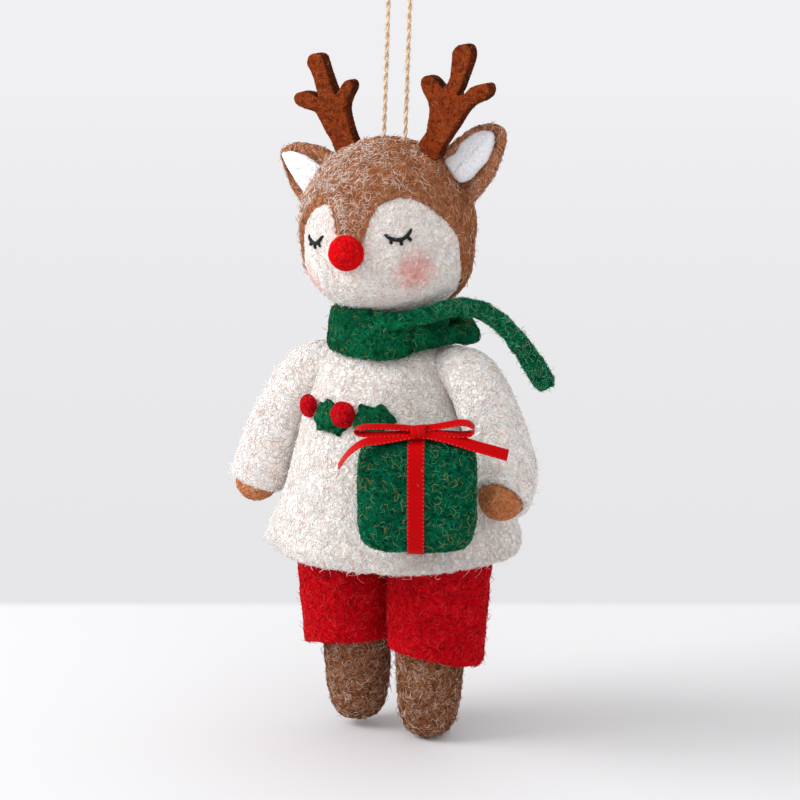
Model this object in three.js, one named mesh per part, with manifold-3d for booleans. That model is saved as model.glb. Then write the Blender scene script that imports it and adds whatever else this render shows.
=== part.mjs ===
// Felt reindeer ornament on a twine loop.
// Millimetres, +Z up, the figure's front faces -Y and its left side is +X.
// Heights in this file are counted from just above the soles. The figure is then hung
// below the origin, which lies at the top of the twine loop, where a hook holds it.

import * as THREE from 'three';
import { mergeVertices } from 'three/addons/utils/BufferGeometryUtils.js';
import { RoundedBoxGeometry } from 'three/addons/geometries/RoundedBoxGeometry.js';
import Module from 'manifold-3d';

const wasm = await Module();
wasm.setup();

// Driving sizes

const gap = 0.3;          // clearance between pieces that touch
const overrun = 2;        // how far a cutting tool passes the face it cuts

const tunic = { hemHeight: 41.2, shoulderHeight: 86.5, hemRadius: 28.2, felt: 1.5, depthShare: 0.96 };
const hemFold = { depth: 0.5, count: 7, slantShare: 0.01 };
// Height share from hem to shoulder, radius share of the hem's
const tunicProfileShares = [
  [0, 1], [0.06, 0.975], [0.26, 0.848], [0.42, 0.78],
  [0.6, 0.712], [0.72, 0.64], [0.86, 0.56], [0.955, 0.49],
];

const neck = { radius: 9.2, insideLength: 2.5, showing: 5.6 };

const head = { radius: 17.5, centreX: -1.3, rollDeg: 5.5, turnDeg: 3.5 };
const hood = { felt: 1, peakHalfWidth: 3.8, lobeHalfWidth: 18, lobeRise: 7.9 };
// Outline of one lobe of the face opening: across share of its half width, up share of its rise
const lobeShares = [[0.232, 0.2], [0.28, 0.5], [0.37, 0.82], [0.55, 1], [0.76, 0.82], [0.9, 0.46]];
// The opening's back edge below the brow, seen from the side: back and down shares of the head's radius
const cheekEdgeShares = [[-0.28, 0], [-0.12, -0.18], [0, -0.5], [0.16, -0.82], [0.2, -1.12]];

const nose = { radius: 3.75, standOff: 1.9, belowDeg: 9 };
const eye = { arcWidth: 6.2, sag: 1.5, threadRadius: 0.3, lash: 1.5, aroundDeg: 35, belowDeg: 0.5 };
const lashShares = { places: [-0.55, 0, 0.55], fan: 1.5 };

const antler = { felt: 3.3, stemWidth: 6.6, beamWidth: 4.3, tineWidth: 3.7, reach: 20, forward: 1 };
const antlerSides = {
  left: { side: 1, aroundDeg: 35.5, sizeShare: 1 },
  right: { side: -1, aroundDeg: 28.5, sizeShare: 0.87 },
};
// Points of the antler: outward and upward shares of its reach
const antlerPointShares = {
  base: [-0.14, -0.2], fork: [0.175, 0.46],
  beamTip: [0.35, 1], innerTip: [-0.04, 0.68], outerTip: [0.61, 0.57],
};

const ear = { length: 17.3, width: 12.2, felt: 2.4, rootDepth: 3.6, riseDeg: 30.5, turnDeg: 12, back: 1.2 };
const lining = { length: 13.6, width: 7, felt: 0.9, rootOffset: 3.6 };
// Half outline of an ear: root, two control points and the tip, as across and along shares
const earOutlineShares = { root: 0.3, low: [0.62, 0.35], high: [0.5, 0.8] };

const shoulder = { drop: 7, seatDepth: 0.83, seatEase: 0.8 };
const sleeve = { topRadius: 4.8, elbowRadius: 5.7, cuffRadius: 6.2, cuffRounding: 0.8 };
const hand = { radius: 4.6, insideLength: 6, showing: 3 };
const arms = {
  left: { side: 1, reach: 15.8, drop: 23.3, forward: 7.2 },
  right: { side: -1, reach: 15.8, drop: 29.1, forward: 4 },
};
// Centre line of each sleeve from the shoulder: shares of the arm's reach, forward and drop
const armRouteShares = {
  left: [[0, 0, 0], [0.24, 0.03, 0], [0.54, 0.11, 0.18], [0.77, 0.22, 0.53], [0.87, 0.47, 0.815], [1, 1, 1]],
  right: [[0, 0, 0], [0.242, 0.04, 0], [0.545, 0.27, 0.162], [0.805, 0.68, 0.532], [1, 1, 1]],
};

const leg = {
  hipHeight: 50, inward: 1.3, thighRadius: 8.2, kneeRadius: 7.6, ankleRadius: 6.9, kneeHeight: 19,
};
const legs = { left: { side: 1, soleHeight: -2 }, right: { side: -1, soleHeight: -0.8 } };
const legShares = { thigh: 0.3, ankle: 0.9 };
const hipWeb = { thickness: 2.8, radius: 2.7 };
const shorts = {
  hemHeight: 19.6, sideEase: 2.3, frontEase: 2.7, felt: 1.1, taper: 3.4,
  seam: 0.7, seamDrop: 3.2, belowWeb: 1.5,
};

const thread = { radius: 0.5, clearance: 0.35, armDepth: 3.2, legDepth: 4 };

const scarf = { height: 10.2, felt: 2.1, ease: 3.15, rise: 3.1, offsetX: 0.6, tiltDeg: 8 };
const scarfTail = { width: 4.6, startForward: 5.5, reach: 22.65, sweep: 9.7, drop: 15.8, arch: 3.8 };
// Middle of the scarf's tail from where it leaves the wrap: across, back and down shares
const tailRouteShares = [
  [0.046, 0.03, 0.089], [0.214, 0.155, 0], [0.404, 0.31, 0],
  [0.598, 0.62, 0.196], [0.819, 0.876, 0.614], [1, 1, 1],
];
// Turn of the tail's width at each of those places
const tailTurnsDeg = [0, 4, 8, 12, 14, 14];

const gift = {
  width: 24.4, height: 23.6, depth: 15, rounding: 4.2, standClear: 2.2, aroundDeg: 39.25, turnDeg: 27,
};
const giftHeightShare = 0.413;
const ribbon = { width: 3.4, thickness: 0.5 };
const bow = {
  loopLength: 12.4, loopHeight: 3.6, tailLength: 17.5, tailDrop: 5,
  ribbonWidth: 3, knotWidth: 2.6, knotHeight: 2.6,
};
const bowTailDropShares = { left: 0.6, right: 1 };
// Control points of the lower and the upper edge of a bow loop: along and height shares
const loopEdgeShares = { lower: [[0.4, -0.6], [1, -0.9]], tip: [1, 0.5], upper: [[1, 1.7], [0.4, 1.5]] };
// Points of a bow tail: along, forward and drop shares
const bowTailShares = [[0, 0, 0], [0.45, 0.4, 0.2], [0.8, 0.5, 0.55], [1, 0.4, 1]];

const holly = { leafLength: 8.2, leafWidth: 6.6, felt: 1.9, berryRadius: 2.85, berryDepth: 1.9 };
const hollyHeightShare = 0.689;
const hollyPlaces = [
  { name: 'holly_berry_1', aroundDeg: -38, berry: true, riseShare: 0.06, turnDeg: 0 },
  { name: 'holly_leaf_1', aroundDeg: -19, berry: false, riseShare: -0.08, turnDeg: 12 },
  { name: 'holly_berry_2', aroundDeg: -3, berry: true, riseShare: 0.08, turnDeg: 0 },
  { name: 'holly_leaf_2', aroundDeg: 17.5, berry: false, riseShare: -0.04, turnDeg: -8 },
];
// Half outline of a holly leaf: along its length, across its width
const leafOutlineShares = [
  [-0.5, 0], [-0.36, 0.3], [-0.2, 0.24], [-0.1, 0.5], [0.08, 0.28], [0.24, 0.46], [0.3, 0.2], [0.5, 0],
];

const twine = { diameter: 1.1, spacing: 5.2, rise: 35.2, lean: 1.3, back: 0.6, boreClearance: 0.35 };
const anchorKnot = { radius: 2.2, depth: 12, clearance: 0.7 };

const sides = {
  ball: 26, ballRows: 16, limb: 16, cloth: 32, small: 12, twine: 8, thread: 8, stitch: 5, curve: 6,
};
const steps = { sleeve: 14, hand: 10, leg: 18, shorts: 4, tail: 10, bowTail: 8, twine: 32 };

const colours = {
  hood: 0xa06a48, leg: 0x7a4a32, antler: 0x8e3d1e, cream: 0xe9e4df, green: 0x0e6b43, red: 0xc8102e,
  nose: 0xe0000a, berry: 0xc81428, ribbon: 0xe0101a, hand: 0xa8623c, twine: 0xc9a27c, lining: 0xf2f2f5,
  stitch: 0x1a1c1c, stuffing: 0xf0ece2,
};
const roughness = { felt: 0.95, satin: 0.4, stitch: 0.6 };

// Places worked out from the driving sizes

const hoodRadius = head.radius + gap + hood.felt;
const headHeight = tunic.shoulderHeight + neck.showing + hoodRadius;
const headTop = headHeight + hoodRadius;
const collarRadius = neck.radius + 2 * gap;
const shoulderHeight = tunic.shoulderHeight - shoulder.drop;
const seatRadius = sleeve.topRadius + shoulder.seatEase;
const seatX = tunicRadiusAt(shoulderHeight) - shoulder.seatDepth;
const hipX = leg.thighRadius + shorts.felt + 3 * gap;
const coreBottom = leg.hipHeight + leg.thighRadius + 2 * gap;
const coreTop = tunic.shoulderHeight - tunic.felt - 2 * gap;
const shortsTop = leg.hipHeight - hipWeb.radius - shorts.belowWeb;
const shortsHalfWidth = leg.thighRadius + shorts.sideEase + shorts.felt;
const shortsHalfDepth = leg.thighRadius + shorts.frontEase + shorts.felt;
const threadBore = thread.radius + thread.clearance;
const scarfRadius = neck.radius + scarf.ease + scarf.felt / 2;
const twineRadius = twine.diameter / 2;
const loopRadius = twine.spacing / 2;
const loopTop = headTop + twine.rise;
const knotHeight = headTop - anchorKnot.depth;
const giftHeight = tunicHeightAt(giftHeightShare);
const giftDistance = tunicRadiusAt(giftHeight) + gift.depth / 2 + gift.standClear;
const bowHeight = gift.height / 2 + 2 * gap + ribbon.thickness + bow.knotHeight / 2;
const bowForward = gift.depth / 2 - gift.rounding;

function tunicHeightAt(share) {
  return tunic.hemHeight + (tunic.shoulderHeight - tunic.hemHeight) * share;
}

function tunicRadiusAt(height) {
  const share = (height - tunic.hemHeight) / (tunic.shoulderHeight - tunic.hemHeight);
  return tunic.hemRadius * interpolate(tunicProfileShares, share);
}

// Value at a place in a table of rising places, with straight lines between them
function interpolate(table, at) {
  const found = table.findIndex(([place]) => place >= at);
  const after = found < 0 ? table.length - 1 : Math.max(found, 1);
  const [x0, y0] = table[after - 1];
  const [x1, y1] = table[after];
  return y0 + (y1 - y0) * (at - x0) / (x1 - x0);
}

function radians(degrees) {
  return THREE.MathUtils.degToRad(degrees);
}

// Geometry helpers

// A closed geometry as a solid that can be joined and cut
function solid(geometry) {
  const plain = geometry.clone();
  plain.deleteAttribute('normal');
  plain.deleteAttribute('uv');
  const merged = mergeVertices(plain, gap / 100);
  const mesh = new wasm.Mesh({
    numProp: 3,
    vertProperties: new Float32Array(merged.attributes.position.array),
    triVerts: new Uint32Array(merged.index.array),
  });
  return new wasm.Manifold(mesh);
}

function geometryOf(manifold) {
  const mesh = manifold.getMesh();
  const geometry = new THREE.BufferGeometry();
  geometry.setAttribute('position', new THREE.BufferAttribute(new Float32Array(mesh.vertProperties), 3));
  geometry.setIndex(new THREE.BufferAttribute(new Uint32Array(mesh.triVerts), 1));
  geometry.computeVertexNormals();
  return geometry;
}

function unitCircle(count) {
  return Array.from({ length: count }, (_, side) => {
    const angle = 2 * Math.PI * side / count;
    return [Math.cos(angle), Math.sin(angle)];
  });
}

// Skin over a row of rings with equal point counts: a tube that closes on itself,
// or a body whose ends are closed by a fan
function loft(rings, closesOnItself = false) {
  const count = rings[0].length;
  const positions = rings.flatMap((ring) => ring.flatMap((point) => point.toArray()));
  const index = [];
  const spans = closesOnItself ? rings.length : rings.length - 1;
  for (let row = 0; row < spans; row += 1) {
    const next = (row + 1) % rings.length;
    for (let side = 0; side < count; side += 1) {
      const a = row * count + side;
      const b = row * count + (side + 1) % count;
      const c = next * count + side;
      const d = next * count + (side + 1) % count;
      index.push(a, b, d, a, d, c);
    }
  }
  if (!closesOnItself) {
    addEndFan(positions, index, rings[0], 0, true);
    addEndFan(positions, index, rings.at(-1), (rings.length - 1) * count, false);
  }
  const geometry = new THREE.BufferGeometry();
  geometry.setAttribute('position', new THREE.Float32BufferAttribute(positions, 3));
  geometry.setIndex(signedVolume(positions, index) < 0 ? flipped(index) : index);
  geometry.computeVertexNormals();
  return geometry;
}

function addEndFan(positions, index, ring, start, first) {
  const centre = new THREE.Vector3();
  ring.forEach((point) => centre.addScaledVector(point, 1 / ring.length));
  const pole = positions.length / 3;
  positions.push(...centre.toArray());
  ring.forEach((_, side) => {
    const a = start + side;
    const b = start + (side + 1) % ring.length;
    index.push(...(first ? [pole, b, a] : [pole, a, b]));
  });
}

function signedVolume(positions, index) {
  const corner = (i) => new THREE.Vector3().fromArray(positions, 3 * index[i]);
  let volume = 0;
  for (let i = 0; i < index.length; i += 3) {
    volume += corner(i).dot(corner(i + 1).cross(corner(i + 2))) / 6;
  }
  return volume;
}

function flipped(index) {
  const turned = [];
  for (let i = 0; i < index.length; i += 3) {
    turned.push(index[i], index[i + 2], index[i + 1]);
  }
  return turned;
}

// A round ball with its poles on the upright axis
function ball(radius, columns = sides.ball, rows = sides.ballRows) {
  return new THREE.SphereGeometry(radius, columns, rows).rotateX(Math.PI / 2);
}

function smallBall(radius) {
  return ball(radius, sides.small, sides.small / 2);
}

// A stuffed limb: rings square to a curve, closer together towards its ends,
// with a radius for each share of its length
function stuffedLimb(curve, radiusAt, count) {
  const rings = Array.from({ length: count + 1 }, (_, step) => {
    const share = (1 - Math.cos(Math.PI * step / count)) / 2;
    const centre = curve.getPointAt(share);
    const tangent = curve.getTangentAt(share);
    const sideways = new THREE.Vector3(0, 1, 0).cross(tangent).normalize();
    const forward = new THREE.Vector3().crossVectors(tangent, sideways);
    const radius = radiusAt(share);
    return unitCircle(sides.limb).map(([x, y]) => centre.clone()
      .addScaledVector(sideways, x * radius).addScaledVector(forward, y * radius));
  });
  return loft(rings);
}

// Radius of a limb near its ends, where it rounds off over a given distance
function roundedEnds(share, length, radius, startRounding, endRounding) {
  const leastShare = 0.02;
  const near = (distance, rounding) => (distance >= rounding ? 1
    : Math.sqrt(Math.max(1 - (1 - distance / rounding) ** 2, leastShare)));
  return radius * near(share * length, startRounding) * near((1 - share) * length, endRounding);
}

// Flat strip through a row of places, each with the direction of its width and of its thickness
function strip(places, width, thickness, closesOnItself = false) {
  const corners = [[-1, -1], [1, -1], [1, 1], [-1, 1]];
  return loft(places.map(({ centre, across, through }) => corners.map(([a, b]) => centre.clone()
    .addScaledVector(across, a * width / 2).addScaledVector(through, b * thickness / 2))), closesOnItself);
}

// A straight rod across the figure, along X
function crossRod(radius, length, centreX, height, count = sides.thread) {
  return solid(new THREE.CylinderGeometry(radius, radius, length, count)
    .rotateZ(Math.PI / 2).translate(centreX, 0, height));
}

function uprightRod(radius, bottom, top, x, y, count) {
  return solid(new THREE.CylinderGeometry(radius, radius, top - bottom, count)
    .rotateX(Math.PI / 2).translate(x, y, (top + bottom) / 2));
}

function plate(shape, thickness) {
  return new THREE.ExtrudeGeometry(
    shape, { depth: thickness, bevelEnabled: false, curveSegments: sides.curve });
}

// Head

function atHeadCentre(geometry) {
  return geometry.translate(head.centreX, 0, headHeight);
}

// Turns a piece of the face with the slight sideways tilt and turn of the head
function rolled(geometry) {
  return atHeadCentre(geometry.rotateY(-radians(head.rollDeg)).rotateZ(radians(head.turnDeg)));
}

// The head's round form grown to a radius, for cutting what rests on it
function headForm(radius) {
  return solid(atHeadCentre(ball(radius)));
}

function twineRods(radius, bottom, top) {
  return uprightRod(radius, bottom, top, loopRadius, twine.back, sides.twine)
    .add(uprightRod(radius, bottom, top, -loopRadius, twine.back, sides.twine));
}

function twineBores(bottom) {
  return twineRods(twineRadius + twine.boreClearance, bottom, headTop + overrun);
}

// Knot wide enough for both strands, grown by a clearance
function knotForm(clearance) {
  return solid(smallBall(anchorKnot.radius).scale(
    1 + (loopRadius + clearance) / anchorKnot.radius,
    1 + clearance / anchorKnot.radius,
    1 + clearance / anchorKnot.radius,
  ).translate(0, twine.back, knotHeight));
}

// The ball has a pocket for the knot, open to the crown through two bores
function headBall() {
  return headForm(head.radius).subtract(knotForm(anchorKnot.clearance)).subtract(twineBores(knotHeight));
}

function cordAnchor() {
  return knotForm(0).add(twineRods(twineRadius, knotHeight, crownHeight(loopRadius) - gap));
}

// Front outline of the face opening: a lobe on each side of the brown peak
function faceOpening() {
  const depth = head.radius + overrun;
  const lobe = (side) => {
    const curve = lobeShares.map(([across, up]) => [across * hood.lobeHalfWidth, up * hood.lobeRise]);
    const outline = [[hood.peakHalfWidth, -overrun], ...curve, [hood.lobeHalfWidth, -overrun]];
    const shape = new THREE.Shape(outline.map(([x, y]) => new THREE.Vector2(side * x, y)));
    return solid(plate(shape, depth).rotateX(Math.PI / 2));
  };
  return lobe(1).add(lobe(-1)).add(cheekOpening());
}

// Side outline of the opening below the brow: its back edge slopes away under the chin
function cheekOpening() {
  const reach = head.radius + overrun;
  const edge = cheekEdgeShares.map(([back, down]) => [back * head.radius, down * head.radius]);
  const outline = [[-reach, 0], ...edge, [-reach, edge.at(-1)[1]]];
  const shape = new THREE.Shape(outline.map(([y, z]) => new THREE.Vector2(y, z)));
  return solid(plate(shape, 2 * reach).rotateX(Math.PI / 2).rotateZ(Math.PI / 2).translate(-reach, 0, 0));
}

function hoodShell() {
  const inner = head.radius + gap;
  return solid(ball(hoodRadius)).subtract(solid(ball(inner)))
    .subtract(faceOpening())
    .rotate([0, -head.rollDeg, 0]).rotate([0, 0, head.turnDeg]).translate([head.centreX, 0, headHeight])
    .subtract(twineBores(headHeight))
    .subtract(neckColumn(gap));
}

// A point of the face: turned round the upright axis, raised, at a distance from the head's centre
function facePoint(aroundDeg, upDeg, distance) {
  const around = radians(aroundDeg);
  const up = radians(upDeg);
  return new THREE.Vector3(
    distance * Math.cos(up) * Math.sin(around),
    -distance * Math.cos(up) * Math.cos(around),
    distance * Math.sin(up),
  );
}

function noseBall() {
  const centre = facePoint(0, -nose.belowDeg, head.radius + nose.standOff);
  return solid(rolled(ball(nose.radius, sides.limb, sides.limb / 2).translate(...centre.toArray())))
    .subtract(headForm(hoodRadius + gap));
}

// One stitch of thread through some points of the face
function stitch(points) {
  const section = new THREE.Shape(unitCircle(sides.stitch)
    .map(([x, y]) => new THREE.Vector2(x * eye.threadRadius, y * eye.threadRadius)));
  return solid(rolled(new THREE.ExtrudeGeometry(section, {
    extrudePath: new THREE.CatmullRomCurve3(points), steps: points.length, bevelEnabled: false,
  })));
}

// A closed eye: one sagging stitch with three lashes below it
function eyeStitch(side) {
  const distance = head.radius + gap + eye.threadRadius;
  const degreesOf = (length) => THREE.MathUtils.radToDeg(length / distance);
  const lidPoint = (share, fan, below) => facePoint(
    side * eye.aroundDeg + share * fan * degreesOf(eye.arcWidth / 2),
    -eye.belowDeg - degreesOf(eye.sag * (1 - share * share) + below),
    distance,
  );
  const lid = stitch([-1, -0.6, -0.2, 0.2, 0.6, 1].map((share) => lidPoint(share, 1, 0)));
  return lashShares.places.reduce((joined, share) => joined.add(
    stitch([lidPoint(share, 1, 0), lidPoint(share, lashShares.fan, eye.lash)])), lid);
}

// A bar with two round ends, from one point to another, as thick as the antler felt
function roundEndedBar(from, to, width) {
  const length = Math.hypot(to[0] - from[0], to[1] - from[1]);
  const shape = new THREE.Shape();
  shape.absarc(0, 0, width / 2, Math.PI, 2 * Math.PI);
  shape.absarc(0, length, width / 2, 0, Math.PI);
  return solid(plate(shape, antler.felt)
    .translate(0, 0, -antler.felt / 2)
    .rotateZ(-Math.atan2(to[0] - from[0], to[1] - from[1]))
    .translate(from[0], from[1], 0));
}

function antlerPlate({ side, aroundDeg, sizeShare }) {
  const at = (name) => antlerPointShares[name].map((share) => share * antler.reach);
  const outline = roundEndedBar(at('base'), at('fork'), antler.stemWidth)
    .add(roundEndedBar(at('fork'), at('beamTip'), antler.beamWidth))
    .add(roundEndedBar(at('fork'), at('innerTip'), antler.beamWidth))
    .add(roundEndedBar(at('fork'), at('outerTip'), antler.tineWidth));
  const around = radians(aroundDeg);
  const stand = hoodRadius + antler.stemWidth / 4;
  const place = [
    head.centreX + side * stand * Math.sin(around), -antler.forward, headHeight + stand * Math.cos(around),
  ];
  return outline.scale([side * sizeShare, sizeShare, 1]).rotate([90, 0, 0]).translate(place)
    .subtract(headForm(hoodRadius + gap));
}

// An ear outline with a blunt root, along +Y
function earShape(length, width) {
  const { root, low, high } = earOutlineShares;
  const shape = new THREE.Shape();
  shape.moveTo(-width * root, 0);
  shape.bezierCurveTo(-width * low[0], length * low[1], -width * high[0], length * high[1], 0, length);
  shape.bezierCurveTo(width * high[0], length * high[1], width * low[0], length * low[1], width * root, 0);
  return shape;
}

// Puts a flat leaf beside the head, pointing outward and up, with its face to the front
function besideHead(geometry, side) {
  const rise = radians(ear.riseDeg);
  const root = hoodRadius - ear.rootDepth;
  return rolled(geometry.rotateX(Math.PI / 2).rotateY(side * (Math.PI / 2 - rise))
    .translate(side * root * Math.cos(rise), 0, root * Math.sin(rise))
    .rotateZ(side * radians(ear.turnDeg)).translate(0, ear.back, 0));
}

function earLeaf(side) {
  const leaf = plate(earShape(ear.length, ear.width), ear.felt).translate(0, 0, -ear.felt);
  return solid(besideHead(leaf, side)).subtract(headForm(hoodRadius + gap));
}

function earLining(side) {
  const leaf = plate(earShape(lining.length, lining.width), lining.felt)
    .translate(0, lining.rootOffset, gap);
  return solid(besideHead(leaf, side)).subtract(headForm(hoodRadius + gap));
}

// Torso

function neckColumn(clearance) {
  return uprightRod(
    neck.radius + clearance, tunic.shoulderHeight - neck.insideLength, headHeight, 0, 0, sides.limb);
}

// Rings of the tunic's outer surface from the hem up, moved inward and at the top down by a distance
function tunicRings(inward) {
  const length = tunic.shoulderHeight - tunic.hemHeight - inward;
  return tunicProfileShares.map(([heightShare, radiusShare]) => unitCircle(sides.cloth).map(([x, y], side) => {
    const wave = Math.cos(2 * Math.PI * hemFold.count * side / sides.cloth);
    const radius = tunic.hemRadius * radiusShare + hemFold.depth * wave * (1 - heightShare) ** 3 - inward;
    const slant = hemFold.slantShare * tunic.hemRadius * x * (1 - heightShare);
    const height = tunic.hemHeight + length * heightShare - slant;
    return new THREE.Vector3(radius * x, tunic.depthShare * radius * y, height);
  }));
}

function collarRing(height) {
  return unitCircle(sides.cloth)
    .map(([x, y]) => new THREE.Vector3(collarRadius * x, collarRadius * y, height));
}

// The tunic's outer form, grown by a clearance, as one closed solid for cutting its neighbours
function tunicForm(clearance) {
  return solid(loft([...tunicRings(-clearance), collarRing(tunic.shoulderHeight + clearance)]));
}

function tunicShell() {
  const collar = [collarRing(tunic.shoulderHeight), collarRing(tunic.shoulderHeight - tunic.felt)];
  return solid(loft([...tunicRings(0), ...collar, ...tunicRings(tunic.felt).reverse()], true))
    .subtract(shoulderSeats(0))
    .subtract(crossRod(threadBore, 4 * seatX, 0, shoulderHeight));
}

// The two flats of the tunic's shoulders on which the sleeves turn
function shoulderSeats(clearance) {
  const radius = seatRadius + clearance;
  const seat = (side) => crossRod(
    radius, 2 * radius, side * (seatX - clearance + radius), shoulderHeight, sides.limb);
  return seat(1).add(seat(-1));
}

// Stuffed torso: it fills the tunic, carries the head on its neck and the legs on its web
function bodyCore() {
  const block = uprightRod(tunic.hemRadius, coreBottom, coreTop, 0, 0, sides.limb)
    .intersect(tunicForm(-tunic.felt - gap));
  return block.add(neckColumn(0)).add(legHanger())
    .subtract(shoulderSeats(gap))
    .subtract(headForm(head.radius + gap))
    .subtract(crossRod(threadBore, 2 * tunic.hemRadius, 0, shoulderHeight))
    .subtract(crossRod(threadBore, 2 * tunic.hemRadius, 0, leg.hipHeight));
}

// Round-ended web between the tops of the legs
function legHanger() {
  const rise = coreBottom - leg.hipHeight + overrun;
  const web = new THREE.Shape();
  web.absarc(0, 0, hipWeb.radius, Math.PI, 2 * Math.PI);
  web.lineTo(hipWeb.radius, rise);
  web.lineTo(-hipWeb.radius, rise);
  return solid(plate(web, hipWeb.thickness).rotateX(Math.PI / 2).rotateZ(Math.PI / 2)
    .translate(-hipWeb.thickness / 2, 0, leg.hipHeight));
}

// Arms

function armCurve({ side, reach, drop, forward }) {
  const start = seatX + 2 * gap;
  const shares = side > 0 ? armRouteShares.left : armRouteShares.right;
  return new THREE.CatmullRomCurve3(shares.map(([outShare, forwardShare, dropShare]) => (
    new THREE.Vector3(
      side * (start + outShare * reach), -forwardShare * forward, shoulderHeight - dropShare * drop))));
}

// Line of the hand, which carries on from the sleeve in the direction of its cuff
function handLine(arm) {
  const curve = armCurve(arm);
  const end = curve.getPointAt(1);
  const direction = curve.getTangentAt(1);
  return new THREE.LineCurve3(
    end.clone().addScaledVector(direction, -hand.insideLength),
    end.clone().addScaledVector(direction, hand.radius / 2 + hand.showing),
  );
}

function handForm(arm, clearance) {
  const line = handLine(arm);
  const length = line.getLength() + 2 * clearance;
  const radiusAt = (share) => roundedEnds(
    share, length, hand.radius + clearance, hand.radius / 2, hand.radius);
  return solid(stuffedLimb(line, radiusAt, steps.hand));
}

function sleeveForm(arm, clearance) {
  const curve = armCurve(arm);
  const length = curve.getLength();
  const radii = [
    [0, sleeve.topRadius], [0.5, sleeve.elbowRadius], [0.85, sleeve.cuffRadius], [1, sleeve.cuffRadius],
  ];
  const radiusAt = (share) => clearance
    + roundedEnds(share, length, interpolate(radii, share), 0, sleeve.cuffRounding);
  return solid(stuffedLimb(curve, radiusAt, steps.sleeve));
}

// The sleeve is open at its cuff for the hand and at its top for the sewing thread
function sleeveTube(arm) {
  return sleeveForm(arm, 0).subtract(handForm(arm, gap))
    .subtract(crossRod(threadBore, 2 * (thread.armDepth + gap), arm.side * seatX, shoulderHeight));
}

// Legs and shorts

// A stuffed leg with a bore for the sewing thread
function stuffedLeg({ side, soleHeight }) {
  const hip = new THREE.Vector3(side * hipX, 0, leg.hipHeight + leg.thighRadius);
  const foot = new THREE.Vector3(side * (hipX - leg.inward), 0, soleHeight);
  const line = new THREE.LineCurve3(hip, foot);
  const length = line.getLength();
  const radii = [
    [0, leg.thighRadius], [legShares.thigh, leg.thighRadius],
    [(hip.z - leg.kneeHeight) / length, leg.kneeRadius],
    [legShares.ankle, leg.ankleRadius], [1, leg.ankleRadius],
  ];
  const radiusAt = (share) => roundedEnds(
    share, length, interpolate(radii, share), leg.thighRadius, leg.ankleRadius);
  const boreLength = 2 * (thread.legDepth + gap);
  return solid(stuffedLimb(line, radiusAt, steps.leg))
    .subtract(crossRod(threadBore, boreLength, side * (hipX - leg.thighRadius), leg.hipHeight));
}

// One felt tube of the shorts, with a sewn corner on its outer side, narrower towards its hem
function shortsLeg({ side }) {
  const ring = (share, inward) => unitCircle(sides.limb).map(([x, y]) => {
    const narrowed = inward + shorts.taper * share / 2;
    const seam = inward ? 0 : shorts.seam * Math.max(x, 0) ** 12;
    const drop = shorts.seamDrop * ((1 + x) / 2) ** 3 * share;
    const centre = gap + shortsHalfWidth - shorts.taper * share / 2;
    return new THREE.Vector3(
      side * (centre + (shortsHalfWidth - narrowed) * x + seam),
      (shortsHalfDepth - narrowed) * y,
      shortsTop + (shorts.hemHeight - shortsTop) * share - drop,
    );
  });
  const shares = Array.from({ length: steps.shorts + 1 }, (_, row) => row / steps.shorts);
  const outer = shares.map((share) => ring(share, 0));
  const inner = shares.map((share) => ring(share, shorts.felt)).reverse();
  return solid(loft([...outer, ...inner], true));
}

// Scarf

function scarfRing() {
  const places = unitCircle(sides.cloth).map(([x, y]) => ({
    centre: new THREE.Vector3(scarfRadius * x, scarfRadius * y, 0),
    across: new THREE.Vector3(0, 0, 1),
    through: new THREE.Vector3(x, y, 0),
  }));
  return solid(strip(places, scarf.height, scarf.felt, true)
    .rotateY(-radians(scarf.tiltDeg)).translate(scarf.offsetX, 0, tunic.shoulderHeight + scarf.rise));
}

function scarfTailStrip() {
  const middle = new THREE.CatmullRomCurve3(tailRouteShares.map(([across, back, down]) => new THREE.Vector3(
    scarfRadius - scarf.felt / 2 + across * scarfTail.reach,
    back * scarfTail.sweep - scarfTail.startForward,
    tunic.shoulderHeight + scarf.height / 2 + scarfTail.arch - down * scarfTail.drop,
  )));
  const turns = tailTurnsDeg.map((turn, i) => [i / (tailTurnsDeg.length - 1), turn]);
  const places = Array.from({ length: steps.tail + 1 }, (_, step) => {
    const share = step / steps.tail;
    const tangent = middle.getTangentAt(share);
    const turn = radians(interpolate(turns, share));
    const through = new THREE.Vector3(0, -1, 0).addScaledVector(tangent, tangent.y).normalize();
    const across = new THREE.Vector3().crossVectors(tangent, through).normalize();
    return {
      centre: middle.getPointAt(share),
      across: across.applyAxisAngle(tangent, turn),
      through: through.applyAxisAngle(tangent, turn),
    };
  });
  return solid(strip(places, scarfTail.width, scarf.felt));
}

function scarfStrip() {
  return scarfRing().add(scarfTailStrip())
    .subtract(tunicForm(gap)).subtract(neckColumn(gap)).subtract(headForm(hoodRadius + gap));
}

// Gift

// Moves a piece from the gift's own frame, with its front to -Y, to its place before the tunic
function atGift(manifold) {
  const around = radians(gift.aroundDeg);
  return manifold.rotate([0, 0, gift.turnDeg])
    .translate([giftDistance * Math.sin(around), -giftDistance * Math.cos(around), giftHeight]);
}

function giftBox() {
  const box = new RoundedBoxGeometry(gift.width, gift.depth, gift.height, 3, gift.rounding);
  return atGift(solid(box)).subtract(tunicForm(gap)).subtract(sleeveForm(arms.left, gap))
    .subtract(handForm(arms.left, gap));
}

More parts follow.
